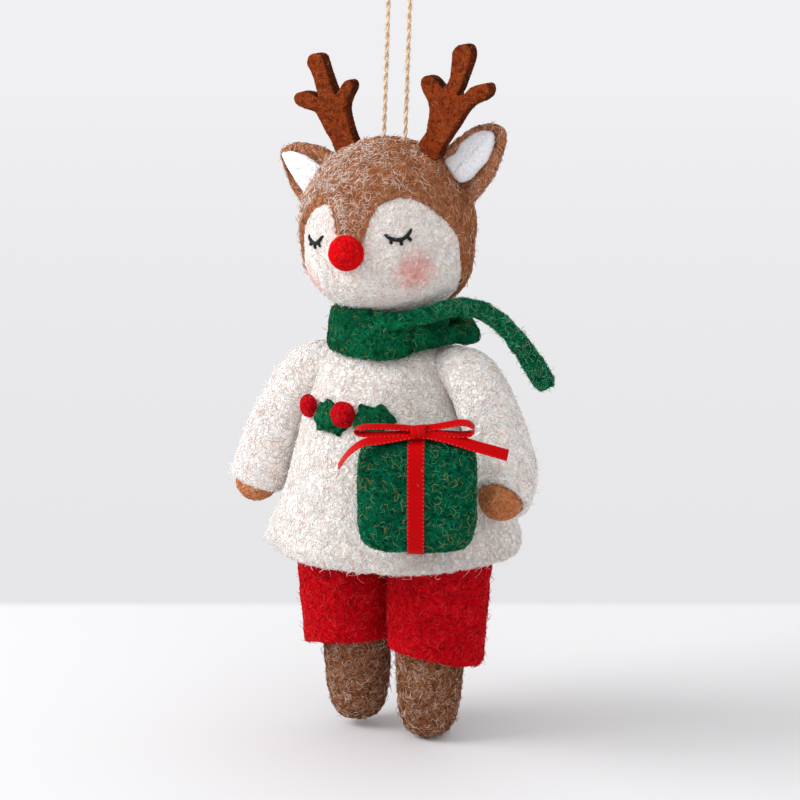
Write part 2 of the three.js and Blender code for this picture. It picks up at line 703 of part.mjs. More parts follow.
// Side outline of the box, grown by a distance: forward and up
function giftSideOutline(grow) {
  const depth = gift.depth / 2 - gift.rounding;
  const height = gift.height / 2 - gift.rounding;
  const radius = gift.rounding + grow;
  const shape = new THREE.Shape();
  shape.absarc(depth, height, radius, 0, Math.PI / 2);
  shape.absarc(-depth, height, radius, Math.PI / 2, Math.PI);
  shape.absarc(-depth, -height, radius, Math.PI, 1.5 * Math.PI);
  shape.absarc(depth, -height, radius, 1.5 * Math.PI, 2 * Math.PI);
  return shape;
}

// The band runs over the box's top, front and underside and ends at its back edges
function giftRibbon() {
  const band = (grow, width) => solid(plate(giftSideOutline(grow), width)
    .translate(0, 0, -width / 2).rotateX(Math.PI / 2).rotateZ(Math.PI / 2));
  const back = solid(new THREE.BoxGeometry(gift.width, gift.depth, 2 * gift.height)
    .translate(0, 3 * gift.depth / 4, 0));
  const loop = band(gap + ribbon.thickness, ribbon.width).subtract(band(gap, ribbon.width + overrun));
  return atGift(loop.subtract(back)).subtract(tunicForm(gap));
}

function toBoxTop(manifold) {
  return atGift(manifold.translate([0, -bowForward, bowHeight]));
}

// One closed loop of ribbon, lying out to a side on the box's top edge
function bowLoop(side) {
  const outline = (grow) => {
    const length = bow.loopLength + grow;
    const half = bow.loopHeight / 2 + grow;
    const { lower, tip, upper } = loopEdgeShares;
    const shape = new THREE.Shape();
    shape.moveTo(0, -grow);
    const at = ([along, up]) => [length * along, half * up];
    shape.bezierCurveTo(...at(lower[0]), ...at(lower[1]), ...at(tip));
    shape.bezierCurveTo(...at(upper[0]), ...at(upper[1]), 0, grow);
    return shape;
  };
  const slab = (grow, width) => solid(
    plate(outline(grow), width).translate(0, 0, -width / 2).rotateX(Math.PI / 2));
  return slab(ribbon.thickness, bow.ribbonWidth)
    .subtract(slab(0, bow.ribbonWidth + overrun)).scale([side, 1, 1]);
}

function bowTail(side, drop) {
  const curve = new THREE.CatmullRomCurve3(bowTailShares.map(([along, forward, down]) => new THREE.Vector3(
    side * along * bow.tailLength, -forward * bow.loopHeight, -down * drop)));
  const places = Array.from({ length: steps.bowTail + 1 }, (_, step) => {
    const share = step / steps.bowTail;
    const tangent = curve.getTangentAt(share);
    const across = new THREE.Vector3(0, 1, 0).addScaledVector(tangent, -tangent.y).normalize();
    const through = new THREE.Vector3().crossVectors(tangent, across);
    return { centre: curve.getPointAt(share), across, through };
  });
  return solid(strip(places, bow.ribbonWidth, ribbon.thickness));
}

// The flat middle of the bow, which passes through the knot
function bowBand(clearance) {
  return solid(new THREE.BoxGeometry(
    2 * bow.knotWidth, bow.ribbonWidth + 2 * clearance, 2 * (ribbon.thickness + clearance)));
}

function bowKnotForm(clearance) {
  return solid(new RoundedBoxGeometry(
    bow.knotWidth + 2 * clearance,
    bow.ribbonWidth + 2 * (gap + ribbon.thickness + clearance),
    bow.knotHeight + 2 * clearance,
    1, bow.knotHeight / 4));
}

function ribbonBow() {
  const loops = bowLoop(1).add(bowLoop(-1))
    .add(bowTail(1, bow.tailDrop * bowTailDropShares.left))
    .add(bowTail(-1, bow.tailDrop * bowTailDropShares.right));
  return toBoxTop(loops.subtract(bowKnotForm(gap)).add(bowBand(0))).subtract(tunicForm(gap));
}

// Wrap of ribbon that holds the bow's middle
function ribbonKnot() {
  return toBoxTop(bowKnotForm(0).subtract(bowBand(gap)));
}

// Holly

function leafOutline() {
  const upper = leafOutlineShares
    .map(([along, across]) => [along * holly.leafLength, across * holly.leafWidth]);
  const lower = upper.slice(1, -1).reverse().map(([along, across]) => [along, -across]);
  return new THREE.Shape([...upper, ...lower].map(([x, y]) => new THREE.Vector2(x, y)));
}

// A small piece laid on the front of the tunic
function hollyPiece({ aroundDeg, berry, riseShare, turnDeg }, clearance) {
  const height = tunicHeightAt(hollyHeightShare);
  const surface = tunicRadiusAt(height) + gap;
  const radius = holly.berryRadius + clearance;
  const piece = berry
    ? smallBall(radius).scale(1, (holly.berryDepth + clearance) / radius, 1)
      .translate(0, -surface - holly.berryDepth / 2, 0)
    : plate(leafOutline(), 2 * holly.felt)
      .rotateX(Math.PI / 2).rotateY(radians(turnDeg)).translate(0, holly.felt / 2 - surface, 0);
  return solid(piece.rotateZ(radians(aroundDeg)).translate(0, 0, height + riseShare * holly.leafLength));
}

// The backs are cut to the cloth, and each leaf makes room for the berries beside it
function hollyPieces() {
  const room = hollyPlaces.filter(({ berry }) => berry).map((place) => hollyPiece(place, gap));
  return hollyPlaces.map((place) => {
    const onCloth = hollyPiece(place, 0).subtract(tunicForm(gap));
    const shape = place.berry ? onCloth : room.reduce((left, berry) => left.subtract(berry), onCloth);
    return { name: place.name, shape, colour: place.berry ? colours.berry : colours.green };
  });
}

// Twine

// Height of the hood's surface at a place across the crown
function crownHeight(x) {
  return headHeight + Math.sqrt(hoodRadius ** 2 - (x - head.centreX) ** 2 - twine.back ** 2);
}

// One length of twine: up from the left bore, round the hook and down to the right one
function hangingCord() {
  const turn = loopTop - loopRadius;
  const bend = loopRadius * 4 * (Math.SQRT2 - 1) / 3;
  const foot = (x) => new THREE.Vector3(x, twine.back, crownHeight(x) + gap);
  const over = (x, z) => new THREE.Vector3(x + twine.lean, twine.back, z);
  const path = new THREE.CurvePath();
  path.add(new THREE.LineCurve3(foot(loopRadius), over(loopRadius, turn)));
  path.add(new THREE.CubicBezierCurve3(
    over(loopRadius, turn), over(loopRadius, turn + bend), over(bend, loopTop), over(0, loopTop)));
  path.add(new THREE.CubicBezierCurve3(
    over(0, loopTop), over(-bend, loopTop), over(-loopRadius, turn + bend), over(-loopRadius, turn)));
  path.add(new THREE.LineCurve3(over(-loopRadius, turn), foot(-loopRadius)));
  const section = new THREE.Shape(unitCircle(sides.twine)
    .map(([x, y]) => new THREE.Vector2(x * twineRadius, y * twineRadius)));
  return new THREE.ExtrudeGeometry(section, { extrudePath: path, steps: steps.twine, bevelEnabled: false });
}

// Assembly

const ornament = new THREE.Group();
const figure = new THREE.Group();
figure.position.set(-twine.lean, -twine.back, -loopTop);
ornament.add(figure);

function addPiece(name, shape, colour, rough = roughness.felt) {
  const material = new THREE.MeshStandardMaterial({ color: colour, roughness: rough, metalness: 0 });
  const mesh = new THREE.Mesh(shape.isBufferGeometry ? shape : geometryOf(shape), material);
  mesh.name = name;
  figure.add(mesh);
}

addPiece('hanging_cord', hangingCord(), colours.twine);
addPiece('cord_anchor', cordAnchor(), colours.twine);
addPiece('head_ball', headBall(), colours.cream);
addPiece('hood', hoodShell(), colours.hood);
addPiece('nose', noseBall(), colours.nose);
addPiece('body_core', bodyCore(), colours.stuffing);
addPiece('tunic', tunicShell(), colours.cream);
addPiece('scarf', scarfStrip(), colours.green);
addPiece('gift_box', giftBox(), colours.green);
addPiece('gift_ribbon', giftRibbon(), colours.ribbon, roughness.satin);
addPiece('ribbon_bow', ribbonBow(), colours.ribbon, roughness.satin);
addPiece('ribbon_knot', ribbonKnot(), colours.ribbon, roughness.satin);
addPiece('shoulder_thread', crossRod(thread.radius, 2 * (seatX + thread.armDepth), 0, shoulderHeight),
  colours.stitch, roughness.stitch);
const hipThreadLength = 2 * (hipX - leg.thighRadius + thread.legDepth);
addPiece('hip_thread', crossRod(thread.radius, hipThreadLength, 0, leg.hipHeight),
  colours.stitch, roughness.stitch);
hollyPieces().forEach(({ name, shape, colour }) => addPiece(name, shape, colour));
['left', 'right'].forEach((name) => {
  const { side } = arms[name];
  addPiece(`antler_${name}`, antlerPlate(antlerSides[name]), colours.antler);
  addPiece(`ear_${name}`, earLeaf(side), colours.hood);
  addPiece(`ear_lining_${name}`, earLining(side), colours.lining);
  addPiece(`eye_${name}`, eyeStitch(side), colours.stitch, roughness.stitch);
  addPiece(`sleeve_${name}`, sleeveTube(arms[name]), colours.cream);
  addPiece(`hand_${name}`, handForm(arms[name], 0), colours.hand);
  addPiece(`leg_${name}`, stuffedLeg(legs[name]), colours.leg);
  addPiece(`shorts_${name}`, shortsLeg(legs[name]), colours.red);
});

export default ornament;
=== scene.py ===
# %% [markdown]
# A needle-felted reindeer ornament
#
# This lesson dresses the solid model of a small hanging reindeer: wool felt, stuffed limbs,
# a felt tunic and scarf, a felt parcel with a satin bow, and a loop of jute twine.
# The solids give every place and size. Each new piece is a surface worked out with numpy
# and laid where its solid is, and it rides on the same body when a joint moves.

# %% Load the frame
import math

import bpy
import numpy as np
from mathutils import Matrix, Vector


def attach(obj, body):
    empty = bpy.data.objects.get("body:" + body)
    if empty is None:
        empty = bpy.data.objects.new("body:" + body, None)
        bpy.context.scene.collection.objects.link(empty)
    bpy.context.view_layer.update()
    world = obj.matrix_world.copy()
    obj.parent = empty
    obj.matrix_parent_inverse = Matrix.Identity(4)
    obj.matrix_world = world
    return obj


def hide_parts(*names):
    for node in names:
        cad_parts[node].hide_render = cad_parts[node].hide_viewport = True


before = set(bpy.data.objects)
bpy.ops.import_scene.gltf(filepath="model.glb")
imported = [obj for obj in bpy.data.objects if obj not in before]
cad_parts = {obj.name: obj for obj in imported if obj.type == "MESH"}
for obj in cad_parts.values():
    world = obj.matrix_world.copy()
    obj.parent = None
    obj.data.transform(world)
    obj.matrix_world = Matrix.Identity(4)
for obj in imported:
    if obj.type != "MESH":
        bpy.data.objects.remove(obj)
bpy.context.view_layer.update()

# %% [markdown]
# The figure was drawn in millimetres with heights counted from its soles, and then hung
# below the origin. One offset turns drawing millimetres into metres of the frame, and
# everything below is thought out in drawing millimetres.

# %% Drawing millimetres to frame metres
METRE = 1000.0
HUNG = np.array([-1.3, -0.6, -164.9])


def to_frame(points):
    """A drawing point in millimetres plus the hanging offset, in metres."""
    return (np.asarray(points, float) + HUNG) / METRE


def unit(vectors):
    """Each vector divided by its length."""
    vectors = np.asarray(vectors, float)
    return vectors / np.linalg.norm(vectors, axis=-1, keepdims=True)


def add_object(name, data):
    """A new object in the scene."""
    made = bpy.data.objects.new(name, data)
    bpy.context.scene.collection.objects.link(made)
    return made


print("top of the loop:", to_frame(-HUNG), "left sole:", to_frame([8.9, 0, -2]))

# %% [markdown]
# The camera comes first. It stands 30 degrees to the reindeer's left and looks down by
# 12.5 degrees through a long lens, as a product photographer would to keep the shapes
# true. A long lens far away bends nothing, so the far ear and the near ear match.

# %% Camera
PHOTO, FOCAL, SENSOR = 800, 3100, 36
CAMERA_TURN, CAMERA_RISE = math.radians(30), math.radians(12.5)
AIM, DISTANCE = np.array([1.3, 0.75, 72.6]), 674
view_out = np.array([math.sin(CAMERA_TURN) * math.cos(CAMERA_RISE),
                     -math.cos(CAMERA_TURN) * math.cos(CAMERA_RISE), math.sin(CAMERA_RISE)])
view_right = np.array([math.cos(CAMERA_TURN), math.sin(CAMERA_TURN), 0.0])
view_up = np.cross(view_out, view_right)
eye_point = AIM + DISTANCE * view_out

camera = add_object("camera", bpy.data.cameras.new("camera"))
camera.data.sensor_width, camera.data.lens = SENSOR, SENSOR * FOCAL / PHOTO
camera.data.clip_end = 10
camera.location = to_frame(eye_point)
camera.rotation_mode = "QUATERNION"
camera.rotation_quaternion = Vector(-view_out).to_track_quat("-Z", "Y")
bpy.context.scene.camera = camera


def on_plane(pixels, point, normal):
    """Where the sight lines through pixels of the 800-pixel picture meet a plane.
    A sight line is the eye plus t times the pixel's direction, and t makes it meet the plane."""
    across, down = ((np.asarray(pixels, float) - PHOTO / 2) / FOCAL).T
    direction = across[:, None] * view_right - down[:, None] * view_up - view_out
    reach = (np.asarray(point, float) - eye_point) @ normal / (direction @ normal)
    return eye_point + reach[:, None] * direction


print("lens", round(camera.data.lens, 1), "mm, eye at", np.round(to_frame(eye_point), 3))

# %% [markdown]
# Every surface is a grid of points: rows of closed rings. One function turns such a grid
# into a mesh. It can close the ends, or join the last ring to the first, as in a rolled
# hem. It works out the enclosed volume and turns the faces outward.

# %% From grids to meshes
def make_mesh(name, points, faces):
    """Writes points, in drawing millimetres, and arrays of faces into a mesh object. All faces of
    one array have as many corners as it has columns, and those of four or fewer are smooth."""
    corners = np.concatenate([some.ravel() for some in faces])
    sizes = np.concatenate([np.full(len(some), some.shape[1]) for some in faces])
    mesh = bpy.data.meshes.new(name)
    mesh.vertices.add(len(points))
    mesh.vertices.foreach_set("co", to_frame(points).astype(np.float32).ravel())
    mesh.loops.add(len(corners))
    mesh.loops.foreach_set("vertex_index", corners.astype(np.int32))
    mesh.polygons.add(len(sizes))
    mesh.polygons.foreach_set("loop_start", (np.cumsum(sizes) - sizes).astype(np.int32))
    mesh.polygons.foreach_set("use_smooth", sizes <= 4)
    mesh.update(calc_edges=True)
    return add_object(name, mesh)


def enclosed_volume(points, faces):
    """Sum of a . (b x c) / 6 over the fan of triangles in each face, positive when they look outward."""
    a, b, c = points[faces[:, :1]], points[faces[:, 1:-1]], points[faces[:, 2:]]
    return (a * np.cross(b, c)).sum() / 6


def skin(name, grid, loop=False, flat_ends=False):
    """A closed surface over rows of rings. With loop the last ring joins the first. Otherwise each
    end ring is closed by a fan round its mean point, or by one flat face with flat_ends."""
    index = np.arange(grid[..., 0].size).reshape(grid.shape[:2])
    rings = np.vstack([index, index[:1]]) if loop else index
    beside = np.roll(rings, -1, axis=1)
    faces = [np.stack([rings[:-1], beside[:-1], beside[1:], rings[1:]], -1).reshape(-1, 4)]
    points = grid.reshape(-1, 3)
    first, last, count = index[0], index[-1], len(points)
    if flat_ends:
        faces.append(np.stack([first[::-1], last]))
    elif not loop:
        points = np.vstack([points, grid[0].mean(0), grid[-1].mean(0)])
        faces += [np.stack([np.full_like(first, count), np.roll(first, -1), first], -1),
                  np.stack([np.full_like(last, count + 1), last, np.roll(last, -1)], -1)]
    if sum(enclosed_volume(points - points.mean(0), some) for some in faces) < 0:
        faces = [some[:, ::-1] for some in faces]
    return make_mesh(name, points, faces)


def join(pieces, name):
    """Makes several meshes one piece."""
    bpy.ops.object.select_all(action="DESELECT")
    for piece in pieces:
        piece.select_set(True)
    bpy.context.view_layer.objects.active = pieces[0]
    bpy.ops.object.join()
    pieces[0].select_set(False)
    pieces[0].name = name
    return pieces[0]


def ring_angles(count):
    """Equal steps round a full turn."""
    return np.arange(count) * 2 * np.pi / count


def tube(path, radius, across, out, columns):
    """Rings round a path: centre + radius * (cos(turn) * across + sin(turn) * out)."""
    turns = ring_angles(columns)[:, None]
    across, out = (np.broadcast_to(axis, path.shape)[:, None] for axis in (across, out))
    radius = np.broadcast_to(radius, len(path))[:, None, None]
    return path[:, None] + radius * (np.cos(turns) * across + np.sin(turns) * out)


print("three equal steps of a turn:", np.round(ring_angles(3), 2))

# %% Smooth lines through chosen points
def smooth_line(points, count, closed=False):
    """A Catmull-Rom curve through the points, then cut into equal lengths: between two points
    it is the cubic whose slope at each point is half the step between that point's neighbours."""
    p = np.asarray(points, float)
    if closed:
        before, start, end, after = (np.roll(p, shift, axis=0) for shift in (1, 0, -1, -2))
    else:
        wide = np.vstack([2 * p[0] - p[1], p, 2 * p[-1] - p[-2]])
        before, start, end, after = wide[:-3], wide[1:-2], wide[2:-1], wide[3:]
    t = np.linspace(0, 1, 16, endpoint=False)[None, :, None]
    b, s, e, a = (q[:, None, :] for q in (before, start, end, after))
    curve = 0.5 * (2 * s + (e - b) * t + (2 * b - 5 * s + 4 * e - a) * t ** 2
                   + (3 * s - b - 3 * e + a) * t ** 3)
    curve = curve.reshape(-1, p.shape[1])
    curve = np.vstack([curve, curve[:1] if closed else p[-1:]])
    along = way_along(curve)
    at = np.linspace(0, along[-1], count, endpoint=not closed)
    return np.stack([np.interp(at, along, curve[:, k]) for k in range(p.shape[1])], -1)


def way_along(points):
    """The way from the first point to each point: running sum of the steps' lengths."""
    return np.concatenate([[0], np.cumsum(np.linalg.norm(np.diff(points, axis=0), axis=1))])


def line_length(points):
    """Sum of the distances between neighbouring points."""
    return float(np.linalg.norm(np.diff(points, axis=0), axis=1).sum())


def side_frames(path):
    """Directions across and out of a path: across is backward x along, and out is along x across."""
    along = unit(np.gradient(path, axis=0))
    across = unit(np.cross(np.array([0.0, 1.0, 0.0]), along))
    return across, np.cross(along, across)


print("a circle of 100 mm becomes", round(line_length(smooth_line(
    50 / np.pi * np.stack([np.cos(ring_angles(8)), np.sin(ring_angles(8))], -1), 200, True)), 1))

# %% [markdown]
# Needle felt is never smooth: the needle leaves soft hills a few millimetres wide.
# A mean of sine waves in random directions gives such hills without any picture,
# and the seed makes them the same each time.

# %% Soft unevenness
WAVES = 12


def hills(points, size, seed):
    """Mean of twelve sine waves in random directions, whose lengths are near size millimetres."""
    chance = np.random.default_rng(seed)
    directions = unit(chance.normal(size=(WAVES, 3)))
    lengths = size * chance.uniform(0.7, 1.4, WAVES)
    phases = chance.uniform(0, 2 * np.pi, WAVES)
    return 2 * np.sin(points @ directions.T * 2 * np.pi / lengths + phases).mean(-1)


def felted(grid, height, size, seed):
    """Moves each grid point along the surface's own direction by height times its hills.
    That direction is the cross product of the steps along the rows and along the columns."""
    outward = np.cross(np.gradient(grid, axis=0), np.roll(grid, -1, axis=1) - np.roll(grid, 1, axis=1))
    outward = outward / np.maximum(np.linalg.norm(outward, axis=-1, keepdims=True), 1e-9)
    flat = grid.reshape(-1, 3)
    lift = hills(flat, size, seed) + 0.5 * hills(flat, size / 2.7, seed + 1)
    return grid + outward * (height * lift).reshape(grid.shape[:2])[..., None]


# %% [markdown]
# What the eye reads as wool is its fibres: thousands of short curled hairs that lie on the
# surface and catch the light, and a few that stand up along the outline. A shader alone
# leaves the outline razor sharp, so the fibres are real: each is a three-sided tube of
# 18 or 24 triangles that curls in the surface's plane. A real wool fibre is 0.02 to 0.04 mm
# thick. These are about 0.12 mm, as coarse as the picture needs to show them.

# %% Wool fibres
def surface_samples(host, count, chance, keep=None):
    """Random places on a mesh: triangles drawn by area, then random shares of their corners.
    keep weighs each triangle by its middle and direction. Returns places and directions."""
    mesh = host.data
    mesh.calc_loop_triangles()
    corner = np.zeros(3 * len(mesh.loop_triangles), np.int32)
    mesh.loop_triangles.foreach_get("vertices", corner)
    place = np.zeros(3 * len(mesh.vertices), np.float32)
    mesh.vertices.foreach_get("co", place)
    place = place.reshape(-1, 3) * METRE - HUNG
    a, b, c = (place[corner.reshape(-1, 3)[:, i]] for i in range(3))
    outward = np.cross(b - a, c - a)
    area = np.linalg.norm(outward, axis=1)
    weight = area * (keep((a + b + c) / 3, outward / np.maximum(area, 1e-9)[:, None]) if keep else 1)
    chosen = chance.choice(len(area), count, p=weight / weight.sum())
    u, v = chance.uniform(size=(2, count, 1))
    turned = u + v > 1
    u, v = np.where(turned, 1 - u, u), np.where(turned, 1 - v, v)
    return a[chosen] + u * (b - a)[chosen] + v * (c - a)[chosen], unit(outward[chosen])


def lay_fibres(name, host, count, seed, length=(1.2, 2.6), thick=0.12, arch=0.22, curl=2.6,
               strays=0.06, reach=1.1, roundness=18.0, keep=None, down=0.0, stations=5):
    """Curled hairs on a host mesh. The direction of a hair turns steadily along it, so its line is
    the running sum of (cos angle, sin angle) in the surface's plane. A lying hair arches by
    arch * sin(pi s) and sinks with the square of its way over a round form; a stray rises as s^1.4."""
    chance = np.random.default_rng(seed)

    def each(low, high):
        return chance.uniform(low, high, count)[:, None]

    root, outward = surface_samples(host, count, chance, keep)
    first = unit(np.cross(outward, unit(chance.normal(size=(count, 3)))))
    second = np.cross(outward, first)
    s = np.linspace(0, 1, stations)
    bend = curl * chance.uniform(0.35, 1.4, count) * chance.choice([-1, 1], count)
    angle = bend[:, None] * (s - 0.5) + 0.35 * np.sin(7 * s + each(0, 6))
    step = each(*length) / (stations - 1)
    plane_x, plane_y = np.cumsum(np.cos(angle), axis=1) * step, np.cumsum(np.sin(angle), axis=1) * step
    plane_x -= plane_x.mean(1, keepdims=True)
    plane_y -= plane_y.mean(1, keepdims=True)
    stray = chance.uniform(size=count) < strays
    lying = (-0.06 + arch * each(0.3, 1.3) * np.sin(np.pi * s)
             - (plane_x ** 2 + plane_y ** 2) / (2 * roundness))
    standing = -0.1 + reach * each(0.35, 1.2) * s ** 1.4
    height = np.where(stray[:, None], standing, lying)
    line = (root[:, None] + plane_x[..., None] * first[:, None] + plane_y[..., None] * second[:, None]
            + height[..., None] * outward[:, None])
    line[..., 2] -= down * each(0, 1) * s ** 2
    along = unit(np.gradient(line, axis=1))
    side = unit(np.cross(along, outward[:, None]) + 1e-6)
    over = np.cross(side, along)
    radius = thick / 2 * each(0.7, 1.25) * np.sin(np.pi * s.clip(0.06, 0.94)) ** 0.4
    ring = np.arange(3)
    turns = ring_angles(3)[:, None]
    walls_at = (line[:, 1:-1, None] + radius[:, 1:-1, None, None]
                * (np.cos(turns) * side[:, 1:-1, None] + np.sin(turns) * over[:, 1:-1, None]))
    inner, beside = stations - 2, (ring + 1) % 3
    points = np.concatenate([walls_at.reshape(count, 3 * inner, 3), line[:, :1], line[:, -1:]], axis=1)
    walls = np.concatenate([np.stack([k + ring, k + 3 + ring, k + 3 + beside, k + beside], -1)
                            for k in range(0, 3 * inner - 3, 3)])
    root_end, tip = np.full(3, 3 * inner), np.full(3, 3 * inner + 1)
    ends = np.concatenate([np.stack([root_end, ring, beside], -1),
                           np.stack([tip, 3 * inner - 3 + beside, 3 * inner - 3 + ring], -1)])
    per_fibre = 3 * inner + 2
    shift = (np.arange(count) * per_fibre)[:, None, None]
    piece = make_mesh(name, points.reshape(-1, 3),
                      [(walls + shift).reshape(-1, 4), (ends + shift).reshape(-1, 3)])
    tint = piece.data.attributes.new("tint", "FLOAT", "POINT")
    tint.data.foreach_set("value", np.repeat(chance.uniform(0, 1, count), per_fibre).astype(np.float32))
    return piece


print("one fibre of five stations has", 2 * 3 * 2 + 6, "triangles")

# %% [markdown]
# Colours are written as sRGB hex values, as a colour picker shows them, and the shader
# wants linear light, so one function converts them. One more small function adds a node
# with its settings, and links it to the sockets that feed it.

# %% Colour and node helpers
def linear(colour):
    """Linear light of an sRGB hex colour: c / 12.92 up to 0.04045, else ((c + 0.055) / 1.055) ^ 2.4."""
    levels = [int(colour[i:i + 2], 16) / 255 for i in (1, 3, 5)]
    return tuple(c / 12.92 if c <= 0.04045 else ((c + 0.055) / 1.055) ** 2.4 for c in levels) + (1.0,)


def add_node(tree, kind, feeds=None, out=None, **settings):
    """Adds a node and returns its output named out, or else its first output in use. feeds maps
    a socket to a plain value, a hex colour or another node's output."""
    made = tree.nodes.new("ShaderNode" + kind)
    for key, value in settings.items():
        setattr(made, key, value)
    for socket, value in (feeds or {}).items():
        if isinstance(value, bpy.types.NodeSocket):
            tree.links.new(value, made.inputs[socket])
        else:
            made.inputs[socket].default_value = linear(value) if isinstance(value, str) else value
    return made.outputs[out] if out else next((socket for socket in made.outputs if socket.enabled), made)


def new_material(name):
    """A material, its empty tree and the Object coordinates in it."""
    material = bpy.data.materials.new(name)
    material.use_nodes = True
    tree = material.node_tree
    tree.nodes.clear()
    return material, tree, add_node(tree, "TexCoord", out="Object")


print("cream felt in linear light:", [round(c, 3) for c in linear("#E9E4DF")[:3]])

# %% [markdown]
# Needle-felted wool: carded sheep's wool that barbed needles have matted into a firm skin.
# It is matt, with a soft bright edge where the light skims its hairs (sheen), patches of
# slightly different tone where tufts were blended, and a net of single fibres of other
# colours. A contour line of a noise field is a thin wandering curve, so the net is drawn
# by showing a noise only where it is close to one half.

# %% Wool felt
PATCH_WIDTH, PIT_WIDTH, NET_SPACINGS, NET_STRETCH = 4, 0.9, (1.6, 1.1, 0.75), 2.2
NET_SHIFT = np.array([0.013, 0.007, 0.029])
WOOL_GLOSS, FELT_RELIEF = 0.05, 0.0003


def wool_felt(name, colours, strand_strength=0.6, pit_shade_strength=0.7, sheen=0.0, warm=None, relief=0.8):
    """Felt with four colours: its ground, patches 4 mm wide, strands about 1.5 mm apart, and a darker
    colour painted as shade into the low pits between tufts. warm may change the colour by place."""
    ground, patch, strand, pit_shade = colours.split()
    material, tree, place = new_material(name)
    tufts = add_node(tree, "TexNoise", {"Vector": place, "Scale": METRE / PATCH_WIDTH, "Detail": 3})
    tone = add_node(tree, "MapRange", {"Value": tufts, "From Min": 0.35, "From Max": 0.68})
    colour = add_node(tree, "Mix", {"Factor": tone, "A": ground, "B": patch}, data_type="RGBA")
    pits = add_node(tree, "TexNoise", {"Vector": place, "Scale": METRE / PIT_WIDTH, "Detail": 3})
    # Painted shade: the low pits, which are also low in the bump, take the darker fourth colour
    pit_shade_amount = add_node(tree, "MapRange", {"Value": pits, "From Min": 0.52, "From Max": 0.36,
                                       "To Min": 0.0, "To Max": pit_shade_strength})
    colour = add_node(tree, "Mix", {"Factor": pit_shade_amount, "A": colour, "B": pit_shade}, data_type="RGBA")
    net = 0.0
    for index, spacing in enumerate(NET_SPACINGS):
        moved = add_node(tree, "Mapping", {"Vector": place, "Location": NET_SHIFT * index})
        field = add_node(tree, "TexNoise", {"Vector": moved, "Scale": METRE / (NET_STRETCH * spacing),
                                            "Detail": 1.0, "Distortion": 0.9})
        away = add_node(tree, "Math", {0: field, 1: 0.5}, operation="SUBTRACT")
        size = add_node(tree, "Math", {0: away}, operation="ABSOLUTE")
        thread = add_node(tree, "MapRange", {"Value": size, "From Min": 0.004, "From Max": 0.024,
                                             "To Min": 1.0, "To Max": 0.0})
        net = add_node(tree, "Math", {0: net, 1: thread}, operation="MAXIMUM")
    shown = add_node(tree, "Math", {0: net, 1: strand_strength}, operation="MULTIPLY")
    colour = add_node(tree, "Mix", {"Factor": shown, "A": colour, "B": strand}, data_type="RGBA")
    if warm:
        colour = warm(tree, place, colour)
    height = add_node(tree, "Math", {0: net, 1: pits}, operation="ADD")
    bump = add_node(tree, "Bump", {"Height": height, "Strength": relief, "Distance": FELT_RELIEF})
    wool = add_node(tree, "BsdfPrincipled", {
        "Base Color": colour, "Roughness": 0.95, "Specular IOR Level": WOOL_GLOSS, "Sheen Weight": sheen,
        "Sheen Roughness": 0.45, "Normal": bump})
    add_node(tree, "OutputMaterial", {"Surface": wool})
    return material


# %% [markdown]
# The single fibres take their colour from a random number that each of them carries,
# so one material holds a blend of wools, as carded wool does. Thread is simpler: streaks
# of a darker and a lighter tone along it, with a fine relief.

# %% Fibre and thread materials
def wool_fibres(name, colours, gloss=WOOL_GLOSS, warm=None):
    """Fibres in a blend of wools: the fibre's own random number picks a colour from the list."""
    colours = colours.split()
    material, tree, place = new_material(name)
    pick = add_node(tree, "Attribute", out="Fac", attribute_name="tint")
    colour = add_node(tree, "ValToRGB", {"Fac": pick})
    ramp = colour.node.color_ramp
    ramp.interpolation = "CONSTANT"
    for index, wool in enumerate(colours):
        stop = ramp.elements[index] if index < 2 else ramp.elements.new(index / len(colours))
        stop.position, stop.color = index / len(colours), linear(wool)
    if warm:
        colour = warm(tree, place, colour)
    shader = add_node(tree, "BsdfPrincipled", {
        "Base Color": colour, "Roughness": 0.7, "Specular IOR Level": gloss})
    add_node(tree, "OutputMaterial", {"Surface": shader})
    return material


THREAD_RELIEF = 0.0001


def thread_material(name, dark, light, grain, stretch, detail, low, high, roughness, gloss):
    """Streaks of grain millimetres, drawn out upward by 1 / stretch, between two tones. The noise
    shows the dark tone at low and the light one at high."""
    material, tree, place = new_material(name)
    long = add_node(tree, "Mapping", {"Vector": place, "Scale": (1.0, 1.0, stretch)})
    streak = add_node(tree, "TexNoise", {"Vector": long, "Scale": METRE / grain, "Detail": detail})
    tone = add_node(tree, "MapRange", {"Value": streak, "From Min": low, "From Max": high})
    colour = add_node(tree, "Mix", {"Factor": tone, "A": dark, "B": light}, data_type="RGBA")
    bump = add_node(tree, "Bump", {"Height": streak, "Strength": 0.5, "Distance": THREAD_RELIEF})
    shader = add_node(tree, "BsdfPrincipled", {
        "Base Color": colour, "Roughness": roughness, "Specular IOR Level": gloss, "Normal": bump})
    add_node(tree, "OutputMaterial", {"Surface": shader})
    return material


# Jute: coarse, dry and slightly shiny bast fibre, pale tan with darker streaks along each ply
jute = thread_material("jute_twine", "#C29C78", "#EFD9BF", 0.25, 0.25, 3, 0.35, 0.65, 0.75, 0.3)
# Mercerised cotton thread: black, with a faint gloss and fine strands along it
cotton = thread_material("black_cotton_thread", "#060707", "#1E2020", 0.2, 1.0, 2, 0.0, 1.0, 0.55, 0.2)
print("threads:", jute.name, cotton.name)

# %% [markdown]
# Each piece gets its finish, the body that it rides on, the record's material slot and the
# solids that it stands for in one call, so that no piece is forgotten. A coat of fibres
# goes wherever its host goes.

# %% Dressing a piece
triangle_counts, worn = {}, {}


